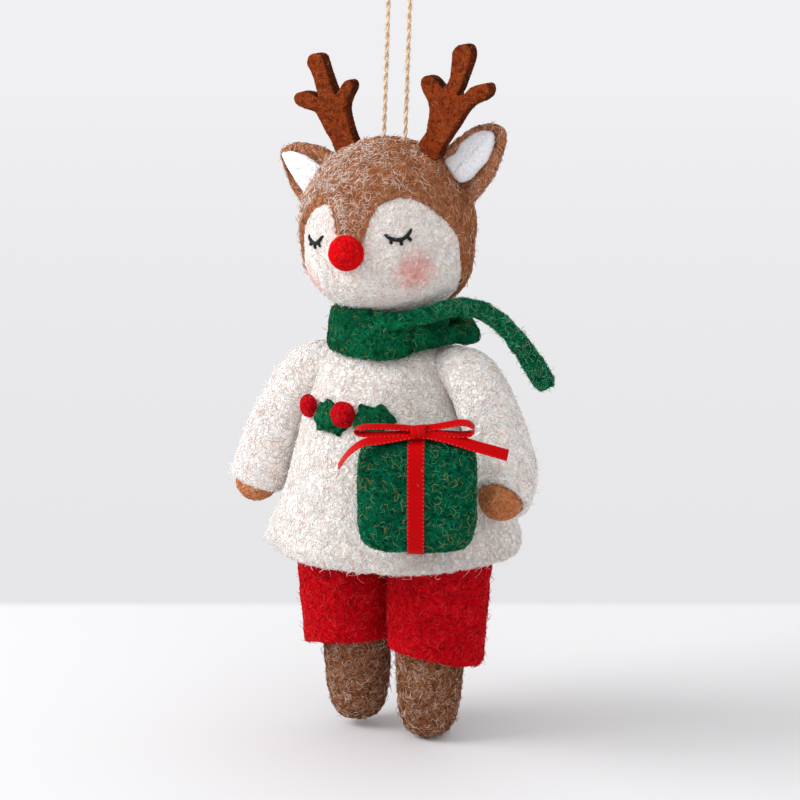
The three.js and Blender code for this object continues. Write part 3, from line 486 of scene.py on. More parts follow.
def dress(piece, material, body, slot=None, instead_of=()):
    """Gives a finished piece its material, body, slot and the solids that it replaces."""
    piece.data.materials.append(material)
    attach(piece, body)
    if instead_of:
        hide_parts(*instead_of)
    piece.data.calc_loop_triangles()
    triangle_counts[piece.name], worn[piece.name] = len(piece.data.loop_triangles), (body, slot)
    print(f"{piece.name}: {triangle_counts[piece.name]} triangles, rides on {body}")
    return piece


def coat(name, host, count, seed, hair, **style):
    """Fibres on a dressed piece, with the body and the slot of that piece."""
    return dress(lay_fibres(name, host, count, seed, **style), hair, *worn[host.name])


# %% [markdown]
# The hanging loop is jute twine: two plies of coarse tan fibre twisted round each other,
# about 1.1 mm across. It leaves the crown by two bores 5.2 mm apart, so it is one length
# that comes out, turns over the hook and goes back in. Each ply is a round tube whose
# centre circles the twine's own line once every 4.4 mm.

# %% Jute twine loop
TWINE_HALF_GAP, TWINE_LEAN, TWINE_BACK, LOOP_TOP = 2.6, 1.3, 0.6, 164.9
LEFT_BORE, RIGHT_BORE = [TWINE_HALF_GAP, TWINE_BACK, 128.9], [-TWINE_HALF_GAP, TWINE_BACK, 129.2]
TWIST_PITCH, PLY_OFFSET, PLY_RADIUS = 4.4, 0.22, 0.28
half_turn = np.linspace(0, np.pi, 9)
loop_bend = np.stack([TWINE_LEAN + TWINE_HALF_GAP * np.cos(half_turn), np.full(9, TWINE_BACK),
                      LOOP_TOP - TWINE_HALF_GAP + TWINE_HALF_GAP * np.sin(half_turn)], -1)
twine_route = np.vstack([np.linspace(LEFT_BORE, loop_bend[0], 8, endpoint=False), loop_bend,
                         np.linspace(loop_bend[-1], RIGHT_BORE, 9)[1:]])
twine_line = smooth_line(twine_route, 420)


def twine_ply(line, start):
    """A round tube whose centre circles the line: offset times (cos, sin) of 2 pi (way / pitch + start)."""
    way = np.linspace(0, line_length(line), len(line))
    across, out = side_frames(line)
    twist = (2 * np.pi * (way / TWIST_PITCH + start))[:, None]
    centre = line + PLY_OFFSET * (np.cos(twist) * across + np.sin(twist) * out)
    return tube(centre, PLY_RADIUS, across, out, 8)


twine = join([skin(f"ply_{i}", twine_ply(twine_line, i / 2)) for i in range(2)], "jute_loop")
dress(twine, jute, "hanger", "twine", ["hanging_cord"])
twine_hairs = coat("jute_hairs", twine, 400, 11, wool_fibres("jute_hair", "#F0DCC4 #DDBE9C #C9A27C"),
                   length=(0.8, 2.6), thick=0.06, arch=0.1, strays=0.5, reach=0.7, roundness=0.6,
                   keep=lambda middles, outward: middles[:, 2] > 133)
to_frame(twine_line[0])
to_frame(twine_route).tolist()

# %% [markdown]
# The head is a stuffed ball, tipped to one side and turned a little. A cream face and a
# brown hood are felted on it. The edge between them is a closed line on the ball: two
# lobes over the eyes, a brown peak down to the nose, and cheeks that run under the chin.
# Both wools are whole balls. Outside its own region each dives under the other, so the
# edge between them is crisp and has a soft step, as the felted seam has.

# %% The head's own frame and the edge of the face
HEAD_CENTRE = np.array([-1.3, 0.0, 110.9])
HEAD_ROLL, HEAD_TURN = math.radians(-5.5), math.radians(3.5)
FACE_RADIUS, HOOD_RADIUS = 18.15, 18.8


def upright_turn(angle):
    """The matrix that turns by an angle about the upright axis."""
    cos, sin = math.cos(angle), math.sin(angle)
    return np.array([[cos, -sin, 0], [sin, cos, 0], [0, 0, 1]])


roll_cos, roll_sin = math.cos(HEAD_ROLL), math.sin(HEAD_ROLL)
HEAD_POSE = upright_turn(HEAD_TURN) @ np.array([
    [roll_cos, 0, roll_sin], [0, 1, 0], [-roll_sin, 0, roll_cos]])


def head_direction(around, up):
    """Direction from the head's centre, in degrees: around from the front to the left ear, up from level."""
    around, up = np.radians(around), np.radians(up)
    local = np.stack([np.cos(up) * np.sin(around), -np.cos(up) * np.cos(around), np.sin(up)], -1)
    return local @ HEAD_POSE.T


# The line round the face, as (around, up) in degrees
FACE_EDGE = [(0, -10), (8, -5), (12, 2), (14, 7), (17.5, 14), (23, 20.2), (31, 23.6), (40, 24.2), (48, 22),
             (56, 17.5), (66, 8.4), (75, -1), (83, -12), (87, -23), (91, -35), (99, -47), (105, -56),
             (112, -80), (0, -88), (-112, -80), (-108, -60), (-94, -50), (-79, -38), (-69, -26), (-63, -14),
             (-56, -4), (-47.5, 6), (-38, 15.5), (-29, 20.8), (-20.5, 22.4), (-13, 16.5), (-10, 8), (-9, 0),
             (-6, -6)]
face_edge = smooth_line(FACE_EDGE, 420, closed=True)


def even_odd(outline, x, y):
    """True inside an outline: a line to the right crosses it an odd number of times."""
    x1, y1 = outline.T[:, :, None]
    x2, y2 = np.roll(outline, -1, axis=0).T[:, :, None]
    crosses = (y1 > y) != (y2 > y)
    slope = (x2 - x1) / np.where(y2 == y1, 1e-9, y2 - y1)
    return ((crosses & (x < x1 + slope * (y - y1))).sum(0) % 2).astype(bool)


def inside_face(directions):
    """Millimetres from the face's edge, positive inside: the smallest angle to the edge times the radius."""
    local = directions @ HEAD_POSE
    around = np.degrees(np.arctan2(local[:, 0], -local[:, 1]))
    up = np.degrees(np.arcsin(np.clip(local[:, 2], -1, 1)))
    nearest = np.arccos(np.clip((directions @ head_direction(*face_edge.T).T).max(1), -1, 1)) * HOOD_RADIUS
    return np.where(even_odd(face_edge, around, up), nearest, -nearest)


up, around = np.linspace(-89.2, 89.2, 130)[:, None], np.degrees(ring_angles(230))[None]
directions = head_direction(around + 0 * up, up + 0 * around)
depth_inside = inside_face(directions.reshape(-1, 3)).reshape(directions.shape[:2])
print("share of the ball that is face:", round(float((depth_inside > 0).mean()), 2))

# %% Cream face and brown hood
SEAM_STEP, SEAM_WIDTH = 0.05, 1.1
# How far each wool dives under the other, and over which way from the edge
FACE_DIVE, FACE_MARGIN, HOOD_DIVE, HOOD_DIVE_WIDTH = 0.75, 0.6, 1.1, 0.8
JAW_FULLNESS, CHIN_PRESS = 2.0, 0.7
# The hood is needled up round the left antler's root
ANTLER_ROOT, MOUND_HEIGHT, MOUND_TURN = np.array([11.0, -1.0, 127.0]), 1.1, 0.17


def soft_step(value):
    """0 below 0, 1 above 1, and v^2 (3 - 2 v) between."""
    value = np.clip(value, 0, 1)
    return value ** 2 * (3 - 2 * value)


def jaw(below):
    """Millimetres that the head is fuller than a ball, by the sine of the angle below level: the
    stuffing has settled into the lower half, and the scarf presses the very bottom in a little."""
    return JAW_FULLNESS * soft_step((below - 0.15) / 0.5) - CHIN_PRESS * soft_step((below - 0.7) / 0.3)


# The hood rises from the seam as low + (high - low) * sqrt(1 - (1 - d / width)^2), a rounded step
seam, fullness = FACE_RADIUS + SEAM_STEP, jaw(-directions[..., 2])
rise = np.sqrt(1 - (1 - np.clip(-depth_inside / SEAM_WIDTH, 0, 1)) ** 2)
face_skin = np.where(depth_inside > -FACE_MARGIN, FACE_RADIUS, FACE_RADIUS - FACE_DIVE) + fullness
hood_skin = np.where(depth_inside < 0, seam + (HOOD_RADIUS - seam) * rise,
                     seam - HOOD_DIVE * np.clip(depth_inside / HOOD_DIVE_WIDTH, 0, 1))
root_turn = np.arccos(np.clip(directions @ unit(ANTLER_ROOT - HEAD_CENTRE), -1, 1))
hood_skin = hood_skin + fullness + MOUND_HEIGHT * np.exp(-(root_turn / MOUND_TURN) ** 2)
face = skin("face", felted(HEAD_CENTRE + face_skin[..., None] * directions, 0.09, 5.0, 21))
hood = skin("hood_wool", felted(HEAD_CENTRE + hood_skin[..., None] * directions, 0.14, 4.0, 22))
print("hood up to", round(float(hood_skin.max()), 1), "mm from the head's centre")

# %% [markdown]
# The cheeks are blushed with a pinch of pink wool. It has no edge: the pink fades with
# the distance from the cheek's middle, broken up by a noise as stray pink fibres are.

# %% Blush and face materials
# Each cheek's middle, reach and strength
CHEEKS = [(HEAD_CENTRE + (FACE_RADIUS + 0.8) * head_direction(44, -26), 5.8, 0.85),
          (HEAD_CENTRE + (FACE_RADIUS + 0.9) * head_direction(-52, -31), 5.6, 0.6)]


def blushed(tree, place, colour):
    """Pink mixed in by 1 - distance / reach from each cheek's middle, times a noise."""
    scatter = add_node(tree, "TexNoise", {"Vector": place, "Scale": METRE / 1.1, "Detail": 2})
    for middle, reach, strength in CHEEKS:
        away = add_node(tree, "VectorMath", {0: place, 1: tuple(to_frame(middle))}, operation="DISTANCE")
        fade = add_node(tree, "MapRange", {"Value": away, "From Min": 0.0, "From Max": reach / METRE,
                                           "To Min": 1.5 * strength, "To Max": 0.0})
        amount = add_node(tree, "Math", {0: fade, 1: scatter}, operation="MULTIPLY")
        colour = add_node(tree, "Mix", {"Factor": amount, "A": colour, "B": "#F06A5C"}, data_type="RGBA")
    return colour


def face_depth(middles):
    """Millimetres inside the face's edge, for points near the ball."""
    return inside_face(unit(middles - HEAD_CENTRE))


def toward_light(middles, outward):
    """Painted highlight: pale hairs go only on the side of the hood that is turned to the key lamp, weighted
    by a squared cosine.
    """
    light = unit(0.3 * view_out - view_right + 0.4 * view_up)
    return (face_depth(middles) < -1.4) * np.clip(outward @ light + 0.1, 0, 1) ** 2


cream_face = wool_felt("cream_face_felt", "#F6EBE4 #FCF6F1 #FFFFFF #E4C4B2", 0.7, 0.65, sheen=0.1,
                       warm=blushed)
cream_face_hair = wool_fibres("cream_face_fibre", "#FFFFFF #FDF9F6 #FAF0E9 #F0D6C6 #FFFDFB #FFFFFF #FFFFFF",
                              0.2, warm=blushed)
brown_hood = wool_felt("brown_hood_felt", "#A45E3A #B8724A #DCAE90 #6A3820", 0.6, 0.7)
brown_hood_hair = wool_fibres("brown_hood_fibre",
                              "#CC9672 #A8683E #E2C0AA #B4764C #C08A68 #96582F #C08258 #B47850")
dress(face, cream_face, "figure", "face_felt", ["head_ball"])
dress(hood, brown_hood, "figure", "hood_felt", ["hood"])
coat("face_fibres", face, 5800, 23, cream_face_hair, length=(1.6, 3.4), thick=0.11, curl=3.4, strays=0.04,
     reach=1.0, keep=lambda middles, outward: face_depth(middles) > 0.1, stations=6)
coat("hood_fibres", hood, 7600, 24, brown_hood_hair, length=(1.8, 4.2), thick=0.13, arch=0.36, curl=3.6,
     strays=0.07, reach=1.5, keep=lambda middles, outward: face_depth(middles) < -0.2, stations=6)
# White guard hairs, laid only on the hood's side turned to the key lamp: a painted highlight
guard_hair = wool_fibres("white_guard_hair", "#EEDCD0 #F8F0EA #E2C8B8", 0.1)
coat("hood_guard_hairs_highlight", hood, 2200, 25, guard_hair, length=(2.0, 4.2), thick=0.1, arch=0.4, curl=3.6,
     strays=0.08, reach=1.6, keep=toward_light, stations=6)

# %% [markdown]
# The nose is a little ball of bright red wool, felted hard, with its pole to the front.

# %% Red nose
def small_ball(centre, outward, radius, squash, seed, rows=34, columns=48):
    """A ball whose pole axis is outward, flattened along it by squash, with small hills."""
    axis = unit(outward)
    first = unit(np.cross(axis, [0.0, 0.0, 1.0]))
    second = np.cross(axis, first)
    up = np.linspace(-0.49 * np.pi, 0.49 * np.pi, rows)[:, None]
    around = ring_angles(columns)[None]
    grid = (np.asarray(centre) + radius * (
        squash * np.sin(up)[..., None] * axis + (np.cos(up) * np.cos(around))[..., None] * first
        + (np.cos(up) * np.sin(around))[..., None] * second))
    return felted(grid, 0.05, 2.2, seed)


nose_out = head_direction(-1.0, -9.0)
nose = skin("nose_ball", small_ball(HEAD_CENTRE + 19.6 * nose_out, nose_out, 3.8, 0.95, 31))
dress(nose, wool_felt("red_nose_felt", "#DA0208 #EA050D #F83838 #A00004", 0.3, 0.7),
      "figure", "nose_felt", ["nose"])
coat("nose_fibres", nose, 900, 32, wool_fibres("red_nose_fibre", "#EC0A12 #F83030 #CC0408"),
     length=(0.5, 1.3), thick=0.09, arch=0.08, strays=0.08, reach=0.35, roundness=3.8)

# %% [markdown]
# The closed eyes are stitched with black six-strand cotton: a sagging lid line and three
# short lashes. Each stitch is a tube that swells a little in its middle and dips into the
# felt at both ends, as a real stitch does.

# %% Stitched eyes
LID_RADIUS, LASH_RADIUS, STITCH_DIP = 0.43, 0.38, 0.45
# The lid and then its three lashes, as (around, up) on the head in degrees
EYE_LINES = {
    "left": [[(24.6, 1.2), (29, -2.2), (35, -3.4), (39.6, -1.2), (43.2, 3)],
             [(29, -2), (28.4, -6)],
             [(35.2, -3.2), (35.4, -7.6)],
             [(39.2, -1.6), (42.4, -5)]],
    "right": [[(-40.5, 1.2), (-36.5, -3), (-31.5, -4.4), (-26.5, -2.6), (-21.6, 1.4)],
              [(-36.6, -2.8), (-38.4, -6.2)],
              [(-32, -4.2), (-32.6, -8.2)],
              [(-26.8, -2.8), (-25.6, -6.6)]],
}


def stitch_tube(line, radius):
    """A tube along a line on the face, of radius * (0.78 + 0.22 sin(pi s)), with ends that dip in."""
    around, up = smooth_line(line, 22).T
    s = np.linspace(0, 1, len(up))
    outward = head_direction(around, up)
    dip = STITCH_DIP * np.clip(1 - np.minimum(s, 1 - s) / 0.08, 0, 1)
    path = HEAD_CENTRE + (FACE_RADIUS + 0.22 - dip)[:, None] * outward
    across = np.cross(unit(np.gradient(path, axis=0)), outward)
    return tube(path, radius * (0.78 + 0.22 * np.sin(np.pi * s)), across, outward, 10)


for side, lines in EYE_LINES.items():
    stitches = [skin(f"stitch_{side}_{i}", stitch_tube(line, LASH_RADIUS if i else LID_RADIUS))
                for i, line in enumerate(lines)]
    dress(join(stitches, f"stitched_eye_{side}"), cotton, "figure", "stitch", [f"eye_{side}"])

# %% [markdown]
# The antlers are cut from 3 mm rust-brown craft felt with flat faces. Their edge faces get a
# darker felt: painted shade. Their outlines are picked on the photograph, in its pixels, and
# laid on the plane of each antler's front face. The front, the edge and the back are rings
# of one skin, with the face's ring drawn in a little, so that the cut edge is rounded.

# %% Antler outlines
ANTLER_OUTLINES = {
    "right": [(339, 160.5), (330.6, 141.6), (325, 132), (320.2, 122.5), (315.4, 113.7), (312.2, 111.3),
        (304.3, 108.9), (296.3, 104.9), (293.1, 99.4), (294.7, 94.6), (300.3, 91.9), (308.3, 92.7),
        (315.4, 97), (317.6, 97), (316.2, 92.2), (313, 79.4), (309.9, 71.5), (306.7, 65.1), (306.7, 59.5),
        (309.1, 55.2), (315.4, 53.6), (320.2, 55.5), (322.6, 60.3), (325, 68.3), (329.8, 82.6),
        (333.8, 92.2), (335.7, 93.8), (337.8, 90.6), (341, 85), (344.9, 80.7), (349.7, 80.7), (352.1, 85),
        (351.3, 90.6), (348.1, 97), (345.7, 103.3), (344.9, 109.7), (345.7, 116.1), (348.1, 125.7),
        (350.5, 133.6), (356, 149), (352, 163)],
    "left": [(418.3, 144.8), (423.9, 134.4), (425.5, 132), (427, 122.5), (428.6, 111.3), (427, 101.7),
        (423.1, 93.8), (420.2, 85.8), (420.7, 79.4), (424.7, 76.2), (431, 77), (435.8, 81), (440.6, 86.6),
        (443, 88.2), (447, 82.6), (449.4, 76.2), (450.2, 68.3), (451, 60.3), (451.8, 52.3), (455.7, 46.7),
        (461.3, 44.7), (466.9, 45.5), (470.1, 50.7), (470.1, 58.7), (467.7, 66.7), (463.7, 77.8),
        (459.7, 89), (456.8, 94.4), (459.7, 95.4), (463.7, 93.8), (469.3, 88.2), (477.3, 85), (485.2, 83.9),
        (488.4, 85.8), (489.2, 91.4), (487.6, 96.2), (482.1, 101), (472.5, 104.9), (465.3, 111.3),
        (459.7, 119.3), (455, 127.2), (449.4, 135.2), (445.4, 141.6), (441.4, 147.4), (435.5, 160.5),
        (426, 157)],
}
ANTLER_FACE, ANTLER_FELT, ANTLER_ROUNDING, CUT_FACING = -2.65, 3.3, 0.45, 0.55
print("outline points:", [len(outline) for outline in ANTLER_OUTLINES.values()])


# %% Cutting felt
def cut_felt(outline, outward, thickness, rounding):
    """A flat felt shape: rings that shrink from its outline towards its middle by a quarter circle, on
    the front and on the back. The inward normal is outward x the outline's direction."""
    ahead = np.roll(outline, -1, axis=0)
    inward = unit(np.cross(outward, unit(ahead - np.roll(outline, 1, axis=0))))
    centre = outline.mean(0)
    inward = inward * np.sign(np.einsum("ij,j->", np.cross(outline - centre, ahead - centre), outward))
    quarter = [(math.sin(angle), math.cos(angle)) for angle in np.linspace(0, np.pi / 2, 5)]
    front = [outline + inward * rounding * (1 - c) - outward * rounding * (1 - s) for s, c in quarter]
    back = [outline + inward * rounding * (1 - c) - outward * (thickness - rounding * (1 - s))
            for s, c in quarter]
    middle = [outline - outward * depth for depth in np.linspace(rounding, thickness - rounding, 4)[1:-1]]
    return np.stack(front[::-1] + middle + back)


def paint_edge_shade(piece, material, outward):
    """Gives a second, darker material to the faces whose direction has less than CUT_FACING of the front's:
    painted shade on the edges.
    """
    piece.data.materials.append(material)
    facing = np.zeros(3 * len(piece.data.polygons), np.float32)
    piece.data.polygons.foreach_get("normal", facing)
    edge_faces = np.abs(facing.reshape(-1, 3) @ outward) < CUT_FACING
    piece.data.polygons.foreach_set("material_index", edge_faces.astype(np.int32))


rust_felt = wool_felt("rust_antler_felt", "#7C3010 #8E3C16 #A65A34 #4E1A08", 0.3, 0.8)
# Painted shade: a darker felt for the antlers' edge faces
edge_shade_felt = wool_felt("rust_felt_edge_shade", "#4A1C0A #64280E #7A3A1C #1E0A04", 0.3, 0.9)
rust_hair = wool_fibres("rust_antler_fibre", "#8E3C16 #6E2810 #B07860 #4E1C0A #A04A22")
front_out = np.array([0.0, -1.0, 0.0])
for side, outline in ANTLER_OUTLINES.items():
    edge = smooth_line(on_plane(outline, [0, ANTLER_FACE, 0], front_out), 220, closed=True)
    rings = cut_felt(edge, front_out, ANTLER_FELT, ANTLER_ROUNDING)
    antler = skin(f"felt_antler_{side}", rings, flat_ends=True)
    dress(antler, rust_felt, "figure", "antler_felt", [f"antler_{side}"])
    paint_edge_shade(antler, edge_shade_felt, front_out)
    coat(f"antler_fibres_{side}", antler, 1300, 42, rust_hair, length=(0.5, 1.6), thick=0.08, arch=0.08,
         strays=0.05, reach=0.4, roundness=200)

# %% [markdown]
# Each ear is a folded leaf of brown wool with a thick soft rim round a hollow, and a pad of
# white wool laid in the hollow. The rim's outline comes from the photograph. Every ring
# of the skin is that outline drawn towards the ear's middle line, and its height above the
# ear's plane is a profile: up over the rim, down into the cup, and round the back.

# %% Outlines and profiles of the ears
# The rims' outlines and the linings', picked on the photograph in its pixels
EAR_OUTLINES = {
    "left": [(436, 158), (447, 147.2), (461.3, 136), (475.7, 127.3), (490, 124.4), (499.6, 126.5),
        (504.4, 132), (505.2, 141.6), (501.2, 156), (496.4, 170.3), (488.4, 184.7), (478.9, 195.8),
        (470.9, 203), (458, 200), (446, 182)],
    "right": [(338, 162), (322.6, 148.8), (309.9, 144.8), (295.5, 142.9), (286.7, 146.4), (282, 152),
        (284.3, 163.9), (289.1, 176.7), (295.5, 192.6), (304.3, 205.4), (312, 206), (326, 190)],
}
LINING_OUTLINES = {
    "left": [(443.8, 160.7), (455, 152.8), (461.3, 141.6), (472.5, 133.6), (485.2, 130.1), (493.2, 133.6),
        (494, 143.2), (488.4, 159.1), (478.9, 170.3), (469.3, 179.9), (459.7, 182.3), (452, 175)],
    "right": [(282.8, 152.8), (290.7, 150.4), (300.3, 152.8), (308.3, 157.5), (322.6, 170.3), (319, 183),
        (309.9, 194.2), (301.9, 189.4), (291, 172), (284, 158)],
}
EAR_TURN = {"left": 12, "right": -12}
EAR_MIDDLE = {"left": [16.5, 3.4, 124.0], "right": [-22.5, 2.6, 120.0]}
PAD_RISE, PAD_BULGE, LINE_SHARE = 0.35, 0.25, 0.62


def cupped(outline, outward, profile):
    """Rings at the outline moved by share towards its long axis and by height along outward. The axis
    stops short of both ends, so that the rings keep the leaf's shape."""
    centre = outline.mean(0)
    axis = np.linalg.svd(outline - centre)[2][0]
    way = (outline - centre) @ axis
    half = LINE_SHARE * np.abs(way).max()
    middle = centre + np.clip(way, -half, half)[:, None] * axis
    return np.stack([outline + share * (middle - outline) + height * outward for share, height in profile])


EAR_PROFILE = smooth_line([(1, -0.9), (0.8, -0.8), (0.55, -0.35), (0.36, 0.35), (0.2, 0.75), (0.07, 0.55),
                           (0, -0.3), (0.06, -1.3), (0.25, -2), (0.55, -2.5), (1, -2.7)], 26)
LINING_PROFILE = smooth_line([(1, 0.75), (0.6, 0.7), (0.25, 0.45), (0.06, 0.1), (0, -0.4), (0.1, -0.9),
                              (1, -1.2)], 18)
print("an ear's rings:", len(EAR_PROFILE), "and its lining's:", len(LINING_PROFILE))

# %% Ears and linings of felt
ear_hair = wool_fibres("brown_ear_fibre", "#C8946E #A8683E #D8B296 #8A4C2A #E4CAB8")
white_felt = wool_felt("white_lining_felt", "#EEEEF3 #F6F6FA #FFFFFF #DADBE3", 0.4, 0.5, relief=0.4)
white_hair = wool_fibres("white_lining_fibre", "#FFFFFF #F2F2F6 #E8E8EE")
for side in ("left", "right"):
    tilt = math.radians(EAR_TURN[side])
    ear_out = np.array([math.sin(tilt), -math.cos(tilt), 0.0])
    rim = smooth_line(on_plane(EAR_OUTLINES[side], EAR_MIDDLE[side], ear_out), 120, closed=True)
    ear = skin(f"felt_ear_{side}", felted(cupped(rim, ear_out, EAR_PROFILE), 0.08, 3.0, 51))
    dress(ear, brown_hood, "figure", "hood_felt", [f"ear_{side}"])
    coat(f"ear_fibres_{side}", ear, 1500, 52, ear_hair, length=(1.2, 3.0), thick=0.11, arch=0.26, curl=3.4,
         strays=0.08, reach=1.1, roundness=6)
    pad = smooth_line(on_plane(LINING_OUTLINES[side], EAR_MIDDLE[side] + PAD_RISE * ear_out, ear_out), 100,
                      closed=True)
    pad_rings = cupped(pad, ear_out, LINING_PROFILE) + PAD_BULGE * ear_out
    lining = skin(f"ear_pad_{side}", felted(pad_rings, 0.06, 2.0, 53))
    dress(lining, white_felt, "figure", "white_felt", [f"ear_lining_{side}"])
    coat(f"lining_fibres_{side}", lining, 700, 54, white_hair, length=(0.5, 1.3), thick=0.09, arch=0.1,
         strays=0.1, reach=0.4, roundness=8)

# %% [markdown]
# Inside the tunic is the stuffing: a plain stuffed cone with a neck. It hardly shows, but
# from below it closes the tunic, so it gets a skin and a wool finish as well.

# %% Stuffed body
def lathe(height, radius, columns, squash=1.0, middle_x=0.0):
    """A round form: a ring at each height with its radius, narrower front to back by squash."""
    turns = ring_angles(columns)
    return np.stack([middle_x + radius[:, None] * np.cos(turns), squash * radius[:, None] * np.sin(turns),
                     np.broadcast_to(height[:, None], (len(height), columns))], -1)


BODY_PROFILE = [(58.8, 6), (59.2, 17), (61.5, 19.8), (68, 17.6), (76, 14.8), (82.5, 11.5), (84.6, 9.3),
                (93.6, 8.6)]
stuffing = skin("stuffed_body", felted(lathe(*smooth_line(BODY_PROFILE, 40).T, 64, 0.96), 0.1, 5.0, 61))
dress(stuffing, wool_felt("carded_stuffing", "#E6E0D6 #F2EEE6 #FFFFFF #CFC4B6"),
      "figure", "stuffing", ["body_core"])

# %% [markdown]
# The tunic is a flared shell of cream felt 1.5 mm thick, open below. Its radius follows a
# smooth profile from collar to hem, soft folds deepen towards the hem, and the rings run
# down the outside, round the cut edge and up the inside, so it is one closed sheet.

# %% Shape of the tunic
HEM, SHOULDER, HEM_RADIUS, TUNIC_FELT, TUNIC_DEPTH = 42.0, 86.5, 28.2, 1.5, 0.96
TUNIC_SHARES = np.array([(0, 1.0), (0.06, 0.975), (0.26, 0.848), (0.42, 0.78), (0.6, 0.712), (0.72, 0.64),
                         (0.86, 0.56), (0.955, 0.46), (1.0, 0.35)])
HEM_DIP, SWAY_LEFT, SWAY_BACK, FOLD, DRAPE = 0.45, 0.5, 0.25, 0.5, 0.35


def tunic_surface(share, around, inward):
    """Radius = hem radius times the profile's share, plus seven folds that fade upward as (1 - share)^3,
    plus a few broad drapes, less the distance inward. The hem dips a little to the left of the front,
    and the whole skirt hangs half a millimetre towards the left."""
    radius = HEM_RADIUS * np.interp(share, *TUNIC_SHARES.T)
    folds = (FOLD * (1 - share) ** 3 * np.cos(7 * around)
             + DRAPE * (1 - share) * np.sin(3 * around + 0.8) * np.clip(share * 6, 0, 1))
    radius = radius + folds - inward
    sway = (1 - share) ** 2
    height = HEM + (SHOULDER - HEM) * share - HEM_DIP * np.cos(around + 0.95) * sway
    return np.stack([radius * np.cos(around) + SWAY_LEFT * sway,
                     TUNIC_DEPTH * radius * np.sin(around) + SWAY_BACK * sway, height], -1)


def hemmed(surface, down, up, felt, lip_steps, columns):
    """Rings down the outside, half a circle round the cut edge at down's last share, and up the inside."""
    turns = ring_angles(columns)[None]
    bend = np.linspace(0, np.pi, lip_steps)[1:-1, None]
    lip = surface(np.full_like(bend, down[-1]), turns, felt / 2 * (1 - np.cos(bend)))
    lip[..., 2] -= felt / 2 * np.sin(bend)
    return np.concatenate([surface(down[:, None], turns, 0.0), lip, surface(up[:, None], turns, felt)])


tunic_grid = hemmed(tunic_surface, np.linspace(1, 0, 90) ** 1.15, np.linspace(0, 1, 40) * 0.97,
                    TUNIC_FELT, 9, 220)
tunic = skin("felt_tunic", felted(tunic_grid, 0.13, 6.0, 62), loop=True)
print("tunic:", len(tunic_grid), "rings of", tunic_grid.shape[1])

# %% Finish of the tunic
cream_felt = wool_felt("cream_tunic_felt", "#F3EBE6 #FAF6F3 #FFFFFF #DFC2B2", 0.8, 0.75, sheen=0.1)
cream_hair = wool_fibres("cream_tunic_fibre",
                         "#FFFFFF #FDFAF8 #F8F4F0 #FFFFFF #EBCCB8 #FFFDFC #FFFFFF #FDFAF8", 0.2)
# The tunic's felt and fibres are a darker copy of the sleeves' cream wool: painted shade for the shade that
# the arms and the parcel cast on it
shaded_tunic_felt = wool_felt("cream_tunic_felt_painted_shade", "#E9E1DC #F1EDEA #F7F5F3 #D6BAAB", 0.8, 0.75, sheen=0.1)
shaded_tunic_hair = wool_fibres("cream_tunic_fibre_painted_shade",
                         "#F5F3F1 #F2EFED #EEEAE6 #F5F3F1 #E2C4B1 #F5F3F2 #F5F3F1 #F2EFED", 0.2)
dress(tunic, shaded_tunic_felt, "figure", "cream_felt", ["tunic"])


def outside(middles, outward, front):
    """Outside faces of the front half or of the back half, with more fibres along the hem."""
    flare = (outward * np.stack([middles[:, 0], middles[:, 1], 0 * middles[:, 0]], -1)).sum(1) > 0
    return flare * ((middles[:, 1] < 0) == front) * (1 + 1.2 * (middles[:, 2] < HEM + 1.5))


tunic_hairs = [
    coat("tunic_fibres_front", tunic, 8200, 63, shaded_tunic_hair, length=(1.8, 4.0), thick=0.1, arch=0.2,
         curl=4.0, strays=0.04, reach=1.3, roundness=25, stations=6,
         keep=lambda middles, outward: outside(middles, outward, True)),
    coat("tunic_fibres_back", tunic, 5600, 64, shaded_tunic_hair, length=(1.0, 2.6), thick=0.13, arch=0.2,
         strays=0.04, reach=0.8, roundness=25,
         keep=lambda middles, outward: outside(middles, outward, False)),
    coat("hem_curls", tunic, 46, 65, shaded_tunic_hair, length=(3.0, 7.0), thick=0.055, arch=0.5, curl=6.5,
         strays=0.0, reach=1.4, roundness=60, down=2.5, stations=14,
         keep=lambda middles, outward: (middles[:, 2] < HEM + 0.8) * outside(middles, outward, True))]

# %% [markdown]
# Each sleeve is a stuffed felt tube that hangs from the shoulder thread. Its rings stand
# square to the arm's line. At the cuff the felt turns in towards the hand, and at the
# shoulder the tube runs into the tunic about the thread, where turning doesn't show.

# %% Sleeves and hands
# The arms' lines: outward, forward and height
ARM_LINES = {
    "left": [(11.8, 0.3, 80.4), (15.4, 0.8, 81.2), (19.2, 1.4, 80.2), (22.3, 2, 77.3), (25.4, 2.6, 71.8),
        (28.4, 3, 65.4), (30.3, 4, 60.8), (30.8, 5.5, 58.2), (31, 7.6, 56.6)],
    "right": [(12.6, 0, 79.3), (15.8, 0, 79.4), (19.2, 0.2, 79), (23.9, 1.1, 74.4), (28.6, 2.7, 64),
        (31.2, 3.8, 55.6), (32.3, 4.3, 52.3)],
}
ARM_SHARES = [0, 0.08, 0.25, 0.45, 0.62, 0.9, 1.0]
ARM_RADII = {"left": [3.8, 4.9, 6, 6.5, 6.5, 6.3, 6.1], "right": [3.2, 4.3, 4.8, 5.3, 5.8, 6.2, 6.1]}
SIDE = {"left": 1, "right": -1}
CUFF_RADIUS, CUFF_TURN_IN, CUFF_LIP, HAND_RADIUS, HAND_END, HAND_ROUND = 6.2, 1.1, 0.9, 4.75, 5.3, 4.6
